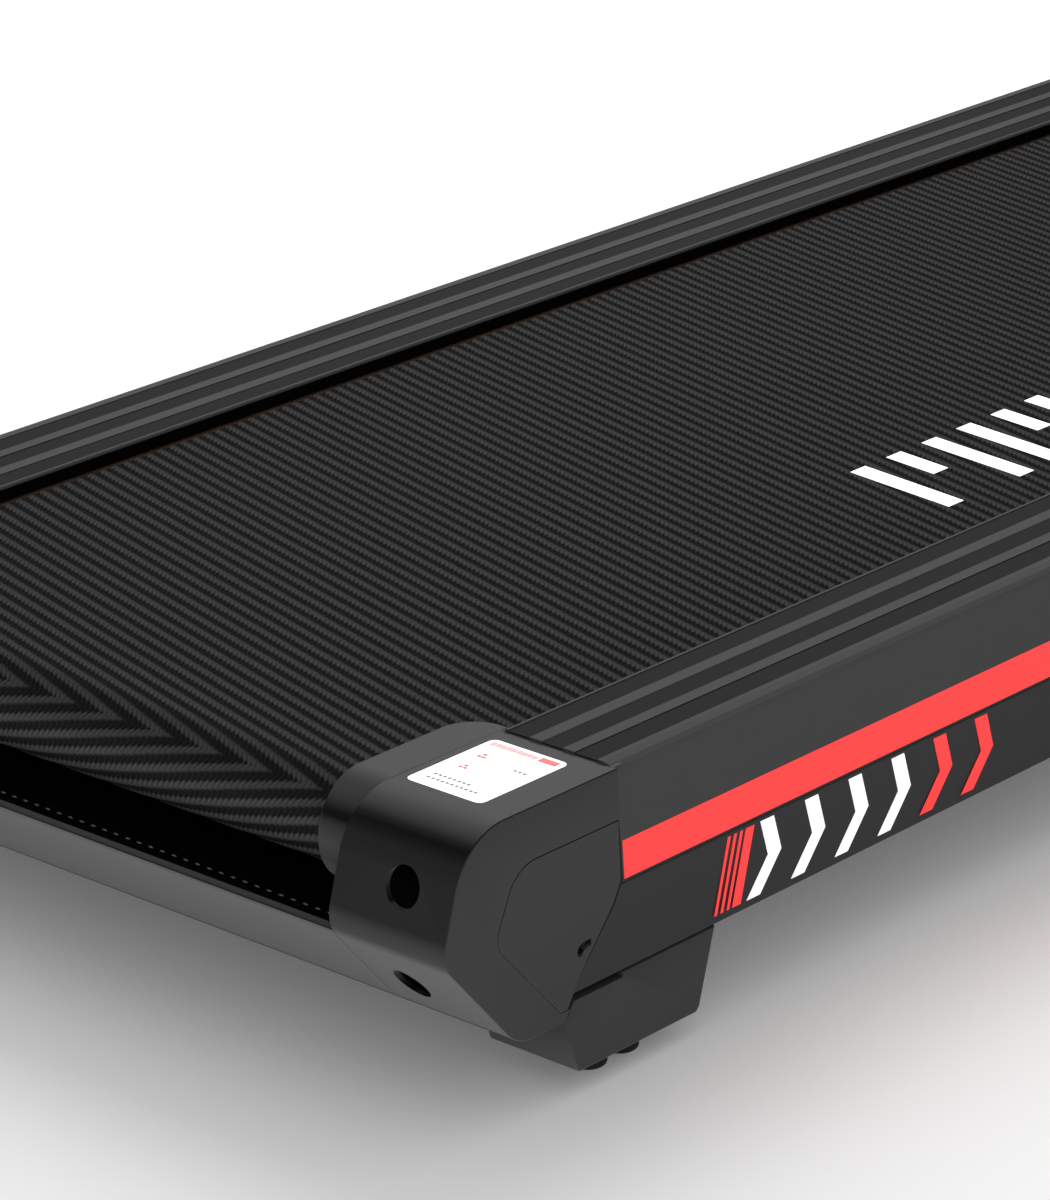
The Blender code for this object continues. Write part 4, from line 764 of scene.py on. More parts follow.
def makeBelt():
    # the top, the front wrap and the underside share one weave; the rear wrap carries its mirror
    radius, axisZ, rearY, frontY = beltLine()
    fold = math.radians(beltLook["foldAngle"])
    wrap = radius * (math.pi - fold)
    run = radius * (fold + math.pi) + 2 * (frontY - rearY)
    ribs = round(beltLook["ribsAlong"] * (run - wrap)) / (run - wrap)
    shape = bmesh.new()
    weave = shape.verts.layers.float_vector.new("weave")
    ribSheet(shape, weave, run, ribs, beltPoint)

    def behind(distance, reach):
        angle = math.pi / 2 + fold + distance / radius
        return rearY + reach * math.cos(angle), axisZ + reach * math.sin(angle)

    ribSheet(shape, weave, wrap, ribs, behind)
    bmesh.ops.remove_doubles(shape, verts=shape.verts, dist=2e-6)
    # each rim is drawn in to the inner face's radius, then the two inner rims are bridged
    rims = [e for e in shape.edges if e.is_boundary]
    made = bmesh.ops.extrude_edge_only(shape, edges=rims)["geom"]
    for vert in [g for g in made if isinstance(g, bmesh.types.BMVert)]:
        y, z = vert.co.y, vert.co.z
        centre = min(max(y, rearY), frontY)
        away = Vector((y - centre, z - axisZ)).normalized() * beltLook["innerRadius"]
        vert.co.y, vert.co.z = centre + away.x, axisZ + away.y
    bmesh.ops.bridge_loops(shape, edges=[g for g in made if isinstance(g, bmesh.types.BMEdge)])
    belt = newPiece("ribbed_belt", shape, beltPvc, "deck", ("running_belt",), 60.0)
    print("belt made of", len(belt.data.polygons), "faces")


makeBelt()


# ---- end caps, covers, guards, beam and feet

capLook = {
    "width": 76 * mm,
    "wall": 3.0 * mm,
    "sideWall": 6.5 * mm,
    "depth": 125 * mm,         # from the top down to the underside
    "topRadius": 38 * mm,
    "topFlat": 44 * mm,        # where the flat top starts
    "lean": 19.0,              # rear face off the vertical, degrees
    "bulgeRadius": 20 * mm,
    "bulgeDrop": 57.5 * mm,
    "chamfer": 41.0,           # the lower slope's normal below the horizontal, degrees
    "footRadius": 25 * mm,
    "footCentre": 65 * mm,
    "frontEdge": ((89.3, -125), (103.9, -102), (127.4, -74), (133.85, -61.5), (128.3, 0)),      # mm
    "sideRound": 4.5 * mm,
    "roundedTo": 88 * mm,      # how far forward the side's edge is rounded
    "hollowTo": 150 * mm,
    "seatReach": 4 * mm,       # the cover's seat runs out through the front edge
    "seatPlay": 0.4 * mm,
    "boltHole": 10.8 * mm,
    "boltShift": 1.5 * mm,     # the access hole stands inward of the bolt and below it
    "lowerHole": (47.0 * mm, 25.0 * mm, -96.3 * mm, 9.8 * mm),      # inset, distance, height, radius
    "axleHole": 9.5 * mm,
}


def capBack(steps=3):
    # the cap's rear outline, from the flat top round to the underside
    look = capLook
    lean = 180.0 - look["lean"]
    chamfer = 180.0 + look["chamfer"]
    top = arc((look["topFlat"], -look["topRadius"]), look["topRadius"], 90.0, lean, 7 * steps)
    middle = arc((look["bulgeRadius"], -look["bulgeDrop"]), look["bulgeRadius"], lean, chamfer, 6 * steps)
    foot = arc((look["footCentre"], look["footRadius"] - look["depth"]), look["footRadius"], chamfer, 270.0,
               4 * steps)
    return top + middle + foot


def placed(loop):
    # an outline of distances and heights, set on the deck
    return [(along(y), fromTop(z)) for y, z in loop]


panelLook = {                  # lengths in mm
    "topArc": ((67, -50.5), 22, 90.0, 150.0),
    "rearArc": ((53, -62.5), 14, 155.0, 218.0),
    "front": ((86.5, -118.5), (91.5, -118.5), (102.5, -101.0), (125.8, -73.3), (132.1, -61.2),
              (129.9, -28.5)),
    "thick": 2.8,
    "gap": 0.45,
    "snapSlot": ((99.0, -91.6), (100.2, -92.6), (102.0, -92.2), (103.2, -90.4), (104.5, -89.6),
                 (109.0, -88.6), (109.6, -85.6), (103.0, -85.6), (100.0, -86.8), (99.0, -88.6)),
}


def inMetres(loop):
    return [(u * mm, v * mm) for u, v in loop]


def coverSeam(steps=3):
    # outline of the side panel
    look = panelLook
    loop = arc(*look["topArc"], 4 * steps) + arc(*look["rearArc"], 4 * steps) + list(look["front"])
    return inMetres(loop)


def weighEdges(piece, picked, weight=1.0):
    # marks the edges that a weighted bevel rounds; picked takes the edge's two ends
    mesh = piece.data
    layer = mesh.attributes.new("bevel_weight_edge", "FLOAT", "EDGE")
    for edge in mesh.edges:
        a, b = (mesh.vertices[i].co for i in edge.vertices)
        layer.data[edge.index].value = weight if picked(a, b) else 0.0


def makeCap(side, sign):
    look = capLook
    inner, outer = deckHalf - look["width"], deckHalf
    outline = placed(capBack() + inMetres(look["frontEdge"]))
    cap = newPiece(f"cap_shell_{side}", slab(outline, *span(sign, inner, outer)), capAbsPaintedLight, "deck",
                   (f"end_cap_{side}",))
    roundEnd = along(look["roundedTo"])

    def rounded(a, b):
        atSide = abs(abs(a.x) - outer) < 1e-5 and abs(abs(b.x) - outer) < 1e-5
        onTop = a.z > fromTop(-0.01 * mm) and b.z > fromTop(-0.01 * mm)
        return atSide and ((a.y < roundEnd and b.y < roundEnd + mm) or onTop)

    weighEdges(cap, rounded)
    softEdges(cap, look["sideRound"], 5, weighted=True)
    bake(cap, cutCap(cap, sign, inner, outer))
    softEdges(cap, 0.35 * mm, 1, 50.0)


def cutCap(cap, sign, inner, outer):
    # the hollow inside, the side panel's seat, two access holes and a gap round the axle
    look = capLook
    back = offset(capBack(1), look["wall"], closed=False)
    hollow = back + [(look["hollowTo"], back[-1][1]), (look["hollowTo"], back[0][1])]
    seat = offset(coverSeam(), -panelLook["gap"] * mm)
    seat = [(y + (look["seatReach"] if y > look["roundedTo"] else 0.0), z) for y, z in seat]
    seatFloor = outer - panelLook["thick"] * mm - look["seatPlay"]
    inset, distance, height, radius = look["lowerHole"]
    mouthX, mouthZ = sign * (deckHalf - inset), fromTop(height)
    mouthRear, mouthFront = along(distance - 20 * mm), along(distance + 20 * mm)
    boltX = sign * ((boltLow.x + boltHigh.x) / 2 - look["boltShift"])
    boltZ = (boltLow.z + boltHigh.z) / 2 - look["boltShift"]
    axleY, axleZ = (rollerLow.y + rollerHigh.y) / 2, (rollerLow.z + rollerHigh.z) / 2
    axleStart, axleEnd = sign * (inner - 10 * mm), sign * (inner + 12 * mm)
    boltStart, boltEnd = (boltX, along(-20 * mm), boltZ), (boltX, along(30 * mm), boltZ)
    cuts = (
        ("capHollow", slab(placed(hollow), *span(sign, inner + look["wall"], outer - look["sideWall"]))),
        ("coverSeat", slab(placed(seat), *span(sign, seatFloor, outer + 5 * mm))),
        ("boltAccess", rod(boltStart, boltEnd, look["boltHole"], 48)),
        ("lowerAccess", rod((mouthX, mouthRear, mouthZ), (mouthX, mouthFront, mouthZ), radius, 48)),
        ("axleGap", rod((axleStart, axleY, axleZ), (axleEnd, axleY, axleZ), look["axleHole"])),
    )
    return [carve(cap, name, shape) for name, shape in cuts]


def makeSidePanel(side, sign):
    # the panel set into the cap's side, with the slot of its snap catch
    look = panelLook
    face = span(sign, deckHalf - look["thick"] * mm, deckHalf)
    panel = newPiece(f"cap_side_panel_{side}", slab(placed(coverSeam()), *face), capAbsPaintedLight, "deck",
                     (f"side_cover_{side}",))
    slot = slab(placed(inMetres(look["snapSlot"])), *span(sign, deckHalf - 10 * mm, deckHalf + 5 * mm))
    bake(panel, [carve(panel, "snapSlot", slot)])
    softEdges(panel, 0.35 * mm, 2, 50.0)


lipLook = {
    "rear": 127.0 * mm,
    "front": 134.8 * mm,
    "outerInset": 2.2 * mm,
    "innerInset": 1.0 * mm,
    "low": -1.0 * mm,
    "high": 0.12 * mm,
}


def makeLip(side, sign):
    # a thin lip runs from the cap under the crown of the rail
    look = lipLook
    near = sign * (deckHalf - look["outerInset"])
    far = sign * (deckHalf - capLook["width"] + look["innerInset"])
    rear, front = along(look["rear"]), along(look["front"])
    lip = slab([(near, rear), (near, front), (far, front), (far, rear)], fromTop(look["low"]),
               fromTop(look["high"]), "Z")
    newPiece(f"cap_lip_{side}", lip, capAbsPaintedLight, "deck")


guardLook = {
    "reach": 27 * mm,
    "thick": 5 * mm,
    "front": 135 * mm,
    "corner": 22 * mm,         # radius of the front inner corner
    "beltGap": 0.5 * mm,
    "capGap": 0.12 * mm,
    "end": 235.0,              # where the lower tip ends round the roller, degrees
}


def makeGuard(side, sign):
    # hood over the belt's edge, rounded at its front inner corner and at its lower tip
    look = guardLook
    radius, axisZ, rearY, _ = beltLine()
    inner = radius + look["beltGap"]
    outer = inner + look["thick"]
    frontY = along(look["front"])
    loop = [(frontY, axisZ + outer)] + arc((rearY, axisZ), outer, 90.0, look["end"], 40)
    loop += arc((rearY, axisZ), inner, look["end"], 90.0, 40) + [(frontY, axisZ + inner)]
    near = deckHalf - capLook["width"] - look["capGap"]
    edge = near - look["reach"]
    guard = newPiece(f"roller_hood_{side}", slab(loop, *span(sign, near, edge)), guardAbsPaintedLight, "deck",
                     (f"roller_guard_{side}",))
    corner, past = look["corner"], 10 * mm
    cornerLoop = arc((edge + corner, frontY - corner), corner, 90.0, 180.0, 16)
    cornerLoop += [(edge - past, frontY - corner), (edge - past, frontY + past),
                   (edge + corner, frontY + past)]
    cut = slab([(sign * x, y) for x, y in cornerLoop], fromTop(-30 * mm), fromTop(30 * mm), "Z")
    bake(guard, [carve(guard, "guardCorner", cut)])
    softEdges(guard, 1.6 * mm, 3, 45.0)


beamLook = {
    "topDrop": 65.5 * mm,
    "thick": 3.0 * mm,
    "front": 88.5 * mm,
    "capGap": 0.4 * mm,
    "groove": (-1.0 * mm, 0.7 * mm),      # outside and inside of the beam's face
}


def makeBeam():
    # the beam carries on the caps' rear outline from one cap to the other
    look = capLook
    chamfer = 180.0 + look["chamfer"]
    start = 180.0 + math.degrees(math.asin((beamLook["topDrop"] - look["bulgeDrop"]) / look["bulgeRadius"]))
    path = arc((look["bulgeRadius"], -look["bulgeDrop"]), look["bulgeRadius"], start, chamfer, 10)
    path += arc((look["footCentre"], look["footRadius"] - look["depth"]), look["footRadius"], chamfer, 270.0,
                12)
    path.append((beamLook["front"], -look["depth"]))
    half = deckHalf - look["width"] - beamLook["capGap"]
    section = path + offset(path, beamLook["thick"], closed=False)[::-1]
    beam = newPiece("rear_cross_beam", slab(placed(section), -half, half), capAbsPaintedLight, "deck",
                    ("rear_beam",))
    # a shallow groove runs below the top edge
    outside, inside = (offset(path[1:4], depth, closed=False) for depth in beamLook["groove"])
    cutter = slab(placed(outside + inside[::-1]), -half - 10 * mm, half + 10 * mm)
    bake(beam, [carve(beam, "beamGroove", cutter)])
    softEdges(beam, 0.5 * mm, 2, 45.0)


footLook = {
    "capGap": 1.2 * mm,
    "toe": (197.5 * mm, 3 * mm),       # distance, and height above the sole
    "soleFront": 195 * mm,
    "soleRear": 102.4 * mm,
    "heel": (101.2 * mm, 1.5 * mm),
    "clip": (97 * mm, 135 * mm),
    "clipOver": 0.2 * mm,
    "clipUnder": 4 * mm,
    "clipDepth": 12 * mm,
}


def makeFoot(side, sign):
    look = footLook
    nodeLow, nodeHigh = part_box(f"rear_foot_{side}")
    top, sole = nodeHigh.z, nodeLow.z
    (tipY, tipZ), (nextY, nextZ) = inMetres(capLook["frontEdge"][:2])
    capEdge = along(tipY + (nextY - tipY) / (nextZ - tipZ) * (top - fromTop(tipZ)))
    toe, toeRise = look["toe"]
    heel, heelRise = look["heel"]
    loop = [(capEdge + look["capGap"], top), (nodeHigh.y, top), (along(toe), sole + toeRise),
            (along(look["soleFront"]), sole), (along(look["soleRear"]), sole), (along(heel), sole + heelRise),
            (along(tipY) + look["capGap"], fromTop(-capLook["depth"]))]
    foot = newPiece(f"rear_foot_shell_{side}", slab(loop, nodeLow.x, nodeHigh.x), capAbsPaintedLight, "deck",
                    (f"rear_foot_{side}",))
    softEdges(foot, 1.6 * mm, 4, 40.0)
    # a dark joint line where the foot clips under the rail
    rear, front = (along(distance) for distance in look["clip"])
    high, low = top + look["clipOver"], top - look["clipUnder"]
    slot = slab([(rear, high), (front, high), (front, low), (rear, low)],
                *span(sign, deckHalf - look["clipDepth"], deckHalf + 10 * mm))
    bake(foot, [carve(foot, "clipSlot", slot)])


padLook = {
    "places": (("rear", 133 * mm), ("front", 158 * mm)),
    "inset": 7 * mm,           # inward of the pads in the frame
    "radius": 10.5 * mm,
    "soleRound": 2.5 * mm,
    "neck": 1.5 * mm,
    "neckHeights": (8 * mm, 10 * mm, 15 * mm),
}


def makePads(side, sign):
    # turned rubber bumpers with a rounded sole
    look = padLook
    radius, sole, neck = look["radius"], look["soleRound"], look["radius"] - look["neck"]
    shoulder, collar, top = look["neckHeights"]
    profile = [(0.0, 0.0)] + arc((radius - sole, sole), sole, -90.0, 0.0, 6)
    profile += [(radius, shoulder), (neck, collar), (neck, top), (0.0, top)]
    for name, distance in look["places"]:
        nodeLow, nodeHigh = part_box(f"foot_pad_{name}_{side}")
        x = (nodeLow.x + nodeHigh.x) / 2 - sign * look["inset"]
        newPiece(f"bumper_{name}_{side}", turned(profile, (x, along(distance), 0.0), 40), footRubber, "deck",
                 (f"foot_pad_{name}_{side}",), 50.0)


shadeSheetLook = {
    # distances and heights in mm, from the rear
    "line": ((10.5, -69.0), (18, -74.5), (34, -78.5), (60, -79.0), (85, -72.0), (105, -64.0), (190, -62.0)),
    "thick": 1.2 * mm,
    "capGap": 1.0 * mm,
    "staplePitch": 8.4 * mm,
    "stapleSize": 1.1 * mm,
    "stapleShape": (1.7, 0.7, 0.6),
    "staplePlace": (33 * mm, -77.6 * mm),
}


def makeShadeSheet():
    # a black sheet of painted shade that fills the gap below the rear roller, with a row of small staples
    # along its seam
    look = shadeSheetLook
    half = deckHalf - capLook["width"] - look["capGap"]
    line = inMetres(look["line"])
    section = line + offset(line, -look["thick"], closed=False)[::-1]
    newPiece("roller_shade_sheet", slab(placed(section), -half, half), paintedShadeSheet, "deck")
    shape = bmesh.new()
    distance, height = look["staplePlace"]
    for i in range(int(2 * half / look["staplePitch"])):
        centre = Vector((-half + (i + 0.7) * look["staplePitch"], along(distance), fromTop(height)))
        made = bmesh.ops.create_icosphere(shape, subdivisions=2, radius=look["stapleSize"])["verts"]
        bmesh.ops.scale(shape, vec=look["stapleShape"], verts=made)
        bmesh.ops.translate(shape, vec=centre, verts=made)
    newPiece("shade_sheet_staples", shape, zincSteel, "deck")


for side, sign in sides:
    makeCap(side, sign)
    makeSidePanel(side, sign)
    makeLip(side, sign)
    makeGuard(side, sign)
    makeFoot(side, sign)
    makePads(side, sign)
makeBeam()
makeShadeSheet()
print("rear end is made")


# ---- stripes, marks and the care label

def flatMark(name, loop, low, high, material, axis="X"):
    # a thin printed mark on the deck
    newPiece(name, slab(loop, low, high, axis), material, "deck")


graphicLook = {
    "thick": 0.18 * mm,
    "sunk": 0.05 * mm,         # how far a mark reaches into the face under it
    "stripeGap": 0.8,          # mm between the cap and the stripe
    "slant": 0.255,
    "sideLow": -107 * mm,
    "sideHigh": -66 * mm,
    "bars": ((206.5, 2.2), (211.5, 2.2), (216.5, 2.2), (221.0, 7.0)),      # place and width in mm
    "whiteChevrons": 4,
    "redChevrons": 2,
    "chevronStart": 233.0,
    "chevronPitch": 37.0,
    "chevronWidth": 11 * mm,
    "chevronTip": 12 * mm,
}


def onFlank(sign):
    return span(sign, deckHalf - graphicLook["sunk"], deckHalf + graphicLook["thick"])


def makeStripe(side, sign):
    # the stripe starts along the cap's leaning front edge
    (y0, z0), (y1, z1) = capLook["frontEdge"][3:]
    low, high = railLook["stripeLow"], railLook["stripeHigh"]
    rears = []
    for height in (low, high):
        share = max(0.0, (height - z0) / (z1 - z0))
        rears.append(along((y0 + (y1 - y0) * share + graphicLook["stripeGap"]) * mm))
    loop = [(rears[0], fromTop(low * mm)), (railFront, fromTop(low * mm)),
            (railFront, fromTop(high * mm)), (rears[1], fromTop(high * mm))]
    flatMark(f"side_stripe_{side}", loop, *onFlank(sign), redVinyl)


def slanted(start, width, low, high, slant):
    # a parallelogram that leans forward
    return [(along(start * mm), fromTop(low)), (along((start + width) * mm), fromTop(low)),
            (along((start + width) * mm) + slant * (high - low), fromTop(high)),
            (along(start * mm) + slant * (high - low), fromTop(high))]


def makeSideMarks(side, sign):
    look = graphicLook
    low, high, slant = look["sideLow"], look["sideHigh"], look["slant"]
    for i, (start, width) in enumerate(look["bars"]):
        flatMark(f"side_bar_{side}_{i}", slanted(start, width, low, high, slant), *onFlank(sign), redVinyl)
    bottom, middle, top = fromTop(low), fromTop((low + high) / 2), fromTop(high)
    width, tip = look["chevronWidth"], look["chevronTip"]
    for i in range(look["whiteChevrons"] + look["redChevrons"]):
        material = whiteVinyl if i < look["whiteChevrons"] else redVinyl
        back = along((look["chevronStart"] + look["chevronPitch"] * i) * mm)
        # an open chevron that points forward
        loop = [(back, bottom), (back + width, bottom), (back + width + tip, middle), (back + width, top),
                (back, top), (back + tip, middle)]
        loop = [(y + slant * (z - bottom), z) for y, z in loop]
        flatMark(f"side_chevron_{side}_{i}", loop, *onFlank(sign), material)


beltMarkLook = {               # lengths in metres
    "count": 7,
    "start": 0.556,
    "pitch": 0.034,
    "width": 0.014,
    "near": 0.108,
    "nearAhead": 0.010,        # the near end stands this far forward
    "long": (0.186, 0.0),      # a bar's far end, and how far forward that stands
    "short": (0.146, 0.005),
}


def makeBeltMarks():
    # leaning bars printed on the belt, every third one short
    look = beltMarkLook
    low, high = beltHigh.z - 0.05 * mm, beltHigh.z + 0.15 * mm
    near = look["near"]
    for i in range(look["count"]):
        far, ahead = look["short"] if i % 3 == 1 else look["long"]
        nearY = along(look["start"] + look["pitch"] * i + look["nearAhead"])
        farY = along(look["start"] + look["pitch"] * i + ahead)
        loop = [(near, nearY), (far, farY), (far, farY + look["width"]), (near, nearY + look["width"])]
        flatMark(f"belt_bar_{i}", loop, low, high, whiteVinyl, "Z")


def roundedLoop(width, height, radius, centre=(0.0, 0.0), steps=6):
    # a rectangle with round corners
    w, h = width / 2 - radius, height / 2 - radius
    loop = []
    for u, v, start in ((w, h, 0), (-w, h, 90), (-w, -h, 180), (w, -h, 270)):
        loop += arc((centre[0] + u, centre[1] + v), radius, start, start + 90, steps)
    return loop


labelLook = {
    "inset": (21 * mm, 71 * mm),
    "along": (50 * mm, 117 * mm),
    "corner": 4 * mm,
    # shares of the label's width and length: place, then size
    "heading": (0.70, 0.885, 0.23, 0.075),
    "headingDash": (0.06, 0.89, 0.060, 0.060),
    "mark": (0.16, 0.66, 0.05, 0.03),
    "lowMark": (0.20, 0.42, 0.045, 0.028),
    "dashSize": (0.040, 0.026),
    "dashPitch": 0.062,
    "dashRows": ((0.14, 0.12, 11), (0.14, 0.20, 8), (0.69, 0.62, 3)),      # place of the first, and how many
}


def makeLabel():
    # a plain care label with a red heading bar and rows of small blank marks
    look = labelLook
    x1, x0 = (deckHalf - v for v in look["inset"])
    y0, y1 = (along(v) for v in look["along"])
    width, length = x1 - x0, y1 - y0
    middle = ((x0 + x1) / 2, (y0 + y1) / 2)
    flatMark("care_label", roundedLoop(width, length, look["corner"], middle), railTop - 0.05 * mm,
             railTop + 0.12 * mm, whiteVinyl, "Z")

    def stamp(name, u, v, w, h, material):
        left, right = x0 + u * width, x0 + (u + w) * width
        rear, front = y0 + v * length, y0 + (v + h) * length
        loop = [(left, rear), (right, rear), (right, front), (left, front)]
        flatMark(name, loop, railTop + 0.06 * mm, railTop + 0.22 * mm, material, "Z")

    stamp("label_heading", *look["heading"], redVinyl)
    u, v, w, h = look["headingDash"]
    for i in range(9):
        stamp(f"label_heading_dash_{i}", u + 0.068 * i, v + 0.006 * (i % 2), w, h, pinkVinyl)
    for i in range(3):
        u, v, w, h = look["mark"]
        stamp(f"label_mark_{i}", u + 0.03 * i, v + 0.045 * (i % 2), w, h, redVinyl)
        u, v, w, h = look["lowMark"]
        stamp(f"label_mark_low_{i}", u + 0.03 * i, v + 0.04 * (i % 2), w, h, redVinyl)
    for row, (u, v, count) in enumerate(look["dashRows"]):
        for i in range(count):
            stamp(f"label_dash_{row}_{i}", u + look["dashPitch"] * i, v, *look["dashSize"], darkVinyl)


for side, sign in sides:
    makeStripe(side, sign)
    makeSideMarks(side, sign)
makeBeltMarks()
makeLabel()
print("stripes and marks are on")


# ---- motor hood

hoodLook = {
    "crest": ((0.030, 0.205), (0.085, 0.242), (0.150, 0.256), (0.225, 0.252), (0.290, 0.226)),
    "crestRear": 0.345,        # the crest's distances start this far behind the hood's front
    "spine": (("hood_spine", 95 * mm, 1.6 * mm), ("hood_inlay", 78 * mm, 2.2 * mm)),      # half width, lift
    "louvres": 9,
    "louvreSize": (70 * mm, 5.0 * mm, 1.5 * mm),
    "louvreX": 0.165,
    "louvreShares": (0.30, 0.058),      # place of the first along the crest, and the step to the next
    "accent": (0.104, 0.110),
    "screwX": 0.262,
    "screwShares": (0.06, 0.90),
    # radius and height in mm
    "screw": ((0.0, -1.0), (4.8, -1.0), (4.8, 0.0), (4.2, 1.6), (1.9, 2.2), (1.6, 1.4), (0.0, 1.4)),
}
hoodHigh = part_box("motor_cover")[1]


def crestPoint(share):
    # a point and its slope along the hood's top, from its rear to its front
    crest = [(hoodHigh.y - hoodLook["crestRear"] + y, z) for y, z in hoodLook["crest"]]
    place = share * (len(crest) - 1)
    i = min(int(place), len(crest) - 2)
    (y0, z0), (y1, z1) = crest[i], crest[i + 1]
    t = place - i
    return Vector((y0 + (y1 - y0) * t, z0 + (z1 - z0) * t)), math.atan2(z1 - z0, y1 - y0)


def crestBand(first, last, steps, high, low):
    # outline of a band that follows the crest between two shares of it
    path = [tuple(crestPoint(first + (last - first) * i / steps)[0]) for i in range(steps + 1)]
    return offset(path, high, closed=False) + offset(path, low, closed=False)[::-1]


def onCrest(shape, x, share):
    place, slope = crestPoint(share)
    return transformed(shape, Matrix.Translation((x, place.x, place.y)) @ Matrix.Rotation(slope, 4, "X"))


def roundBar(length, width, height, steps=6):
    # a low bar with round ends, standing on the XY plane along X
    return slab(roundedLoop(length, width, min(width, length) / 2 - 1e-5, steps=steps), 0.0, height, "Z")


def makeHoodDetails():
    look = hoodLook
    # a raised centre spine with a gloss inlay follows the crest
    for (name, half, lift), material in zip(look["spine"], (hoodAbs, glossAbs)):
        band = slab(crestBand(0.04, 0.96, 24, lift, -0.6 * mm), -half, half)
        softEdges(newPiece(name, band, material, "deck"), 1.0 * mm, 3, 40.0)
    # cooling louvres, a red accent and screws on both sides of the spine
    start, step = look["louvreShares"]
    for side, sign in sides:
        for i in range(look["louvres"]):
            bar = onCrest(roundBar(*look["louvreSize"]), sign * look["louvreX"], start + step * i)
            louvre = newPiece(f"hood_louvre_{side}_{i}", bar, hoodAbs, "deck")
            softEdges(louvre, 0.6 * mm, 2, 40.0)
        stripe = crestBand(0.02, 0.98, 16, 0.5 * mm, -0.5 * mm)
        newPiece(f"hood_accent_{side}", slab(stripe, *span(sign, *look["accent"])), redVinyl, "deck")
        for i, share in enumerate(look["screwShares"]):
            screw = onCrest(turned(inMetres(look["screw"]), (0, 0, 0), 28), sign * look["screwX"], share)
            newPiece(f"hood_screw_{side}_{i}", screw, blackSteel, "deck")


# ---- console

consoleLook = {
    "middle": (0.0, 0.730, 1.195),
    "tilt": 35.0,
    "panel": 6.0 * mm,         # height of the panel's face over the middle
    "screen": (0.185, 0.075, 0.038),      # width, height and how far up the panel
    "bezelRim": (18 * mm, 16 * mm),
    "digitHeight": 15 * mm,
    "windows": ((-0.064, "000"), (-0.012, "0:00"), (0.046, "0.00")),
    "lineDrop": 11 * mm,
    "profileBars": 16,
    "keyRow": -0.052,
    "keyHeight": 2.5 * mm,
    "startX": -0.135,
    "stopX": -0.080,
    "slowerX": 0.078,
    "fasterX": 0.132,
    "ring": ((12.5, 0.0), (12.5, 0.9), (13.3, 1.4), (14.5, 0.8), (14.9, 0.0), (14.9, -0.8), (12.5, -0.8),
             (12.5, 0.0)),     # radius and height in mm
    "speakerX": 0.168 * 0.98,
    "speakerRibs": 7,
    "trimX": 0.207,
    "trimLength": 0.205,
}
# the bars of a seven-segment nought: the middle as shares of its width and height, and if it stands upright
noughtBars = ((0.5, 1.0, False), (1.0, 0.75, True), (1.0, 0.25, True), (0.5, 0.0, False), (0.0, 0.25, True),
              (0.0, 0.75, True))
dotHeights = {":": (0.3, 0.7), ".": (0.0,)}


def onConsole(shape, x=0.0, y=0.0, z=0.0):
    # sets a shape on the tilted console, measured from its middle
    look = consoleLook
    panelTurn = Matrix.Translation(look["middle"]) @ Matrix.Rotation(math.radians(look["tilt"]), 4, "X")
    return transformed(shape, panelTurn @ Matrix.Translation((x, y, z)))


def addFigures(shape, text, x, y, height, low, high):
    # noughts and dots as thin bars
    wide, step, bar = height * 0.52, height * 0.84, height * 0.13
    for figure in text:
        parts = []
        if figure in dotHeights:
            for share in dotHeights[figure]:
                parts.append((x - step * 0.12, y + height * (share - 0.5) + bar * 0.3, bar, bar))
            x += step * 0.28
        else:
            for u, v, upright in noughtBars:
                size = (bar, height * 0.40) if upright else (wide * 0.74, bar)
                parts.append((x + wide * u, y + height * (v - 0.5), *size))
            x += step
        for barX, barY, width, tall in parts:
            addBlock(shape, (barX, barY, (high + low) / 2), (width, tall, high - low))


def makeScreen():
    look = consoleLook
    width, height, rise = look["screen"]
    top = look["panel"]
    rimWidth, rimHeight = look["bezelRim"]
    rim = slab(roundedLoop(width + rimWidth, height + rimHeight, 7 * mm), -1.5 * mm, 2.2 * mm, "Z")
    bezel = newPiece("screen_bezel", onConsole(rim, 0, rise, top), glossAbs, "base")
    opening = slab(roundedLoop(width - 2 * mm, height - 2 * mm, 3 * mm), -20 * mm, 20 * mm, "Z")
    bake(bezel, [carve(bezel, "bezelOpening", onConsole(opening, 0, rise, top))])
    softEdges(bezel, 0.9 * mm, 3, 40.0)
    glass = slab(roundedLoop(width - 2.4 * mm, height - 2.4 * mm, 3 * mm), -0.9 * mm, 0.2 * mm, "Z")
    newPiece("screen_glass", onConsole(glass, 0, rise, top), smokedGlass, "base")
    for i, (x, text) in enumerate(look["windows"]):
        figures = bmesh.new()
        addFigures(figures, text, x - 17 * mm, 6 * mm, look["digitHeight"], 0.2 * mm, 0.45 * mm)
        newPiece(f"screen_figures_{i}", onConsole(figures, 0, rise, top), redLed, "base")
        line = slab(roundedLoop(40 * mm, 0.9 * mm, 0.4 * mm), 0.2 * mm, 0.4 * mm, "Z")
        line = onConsole(line, x, rise - look["lineDrop"], top)
        newPiece(f"screen_line_{i}", line, whiteVinyl, "base")
    # a row of bars whose heights rise and fall, as a training profile
    bars = bmesh.new()
    count = look["profileBars"]
    for i in range(count):
        tall = (3 + 2.2 * (1 + math.sin(i * 0.9))) * mm
        place = ((i - (count - 1) / 2) * 9.5 * mm, -27 * mm + tall / 2, 0.32 * mm)
        addBlock(bars, place, (6.5 * mm, tall, 0.25 * mm))
    newPiece("screen_profile", onConsole(bars, 0, rise, top), redLed, "base")


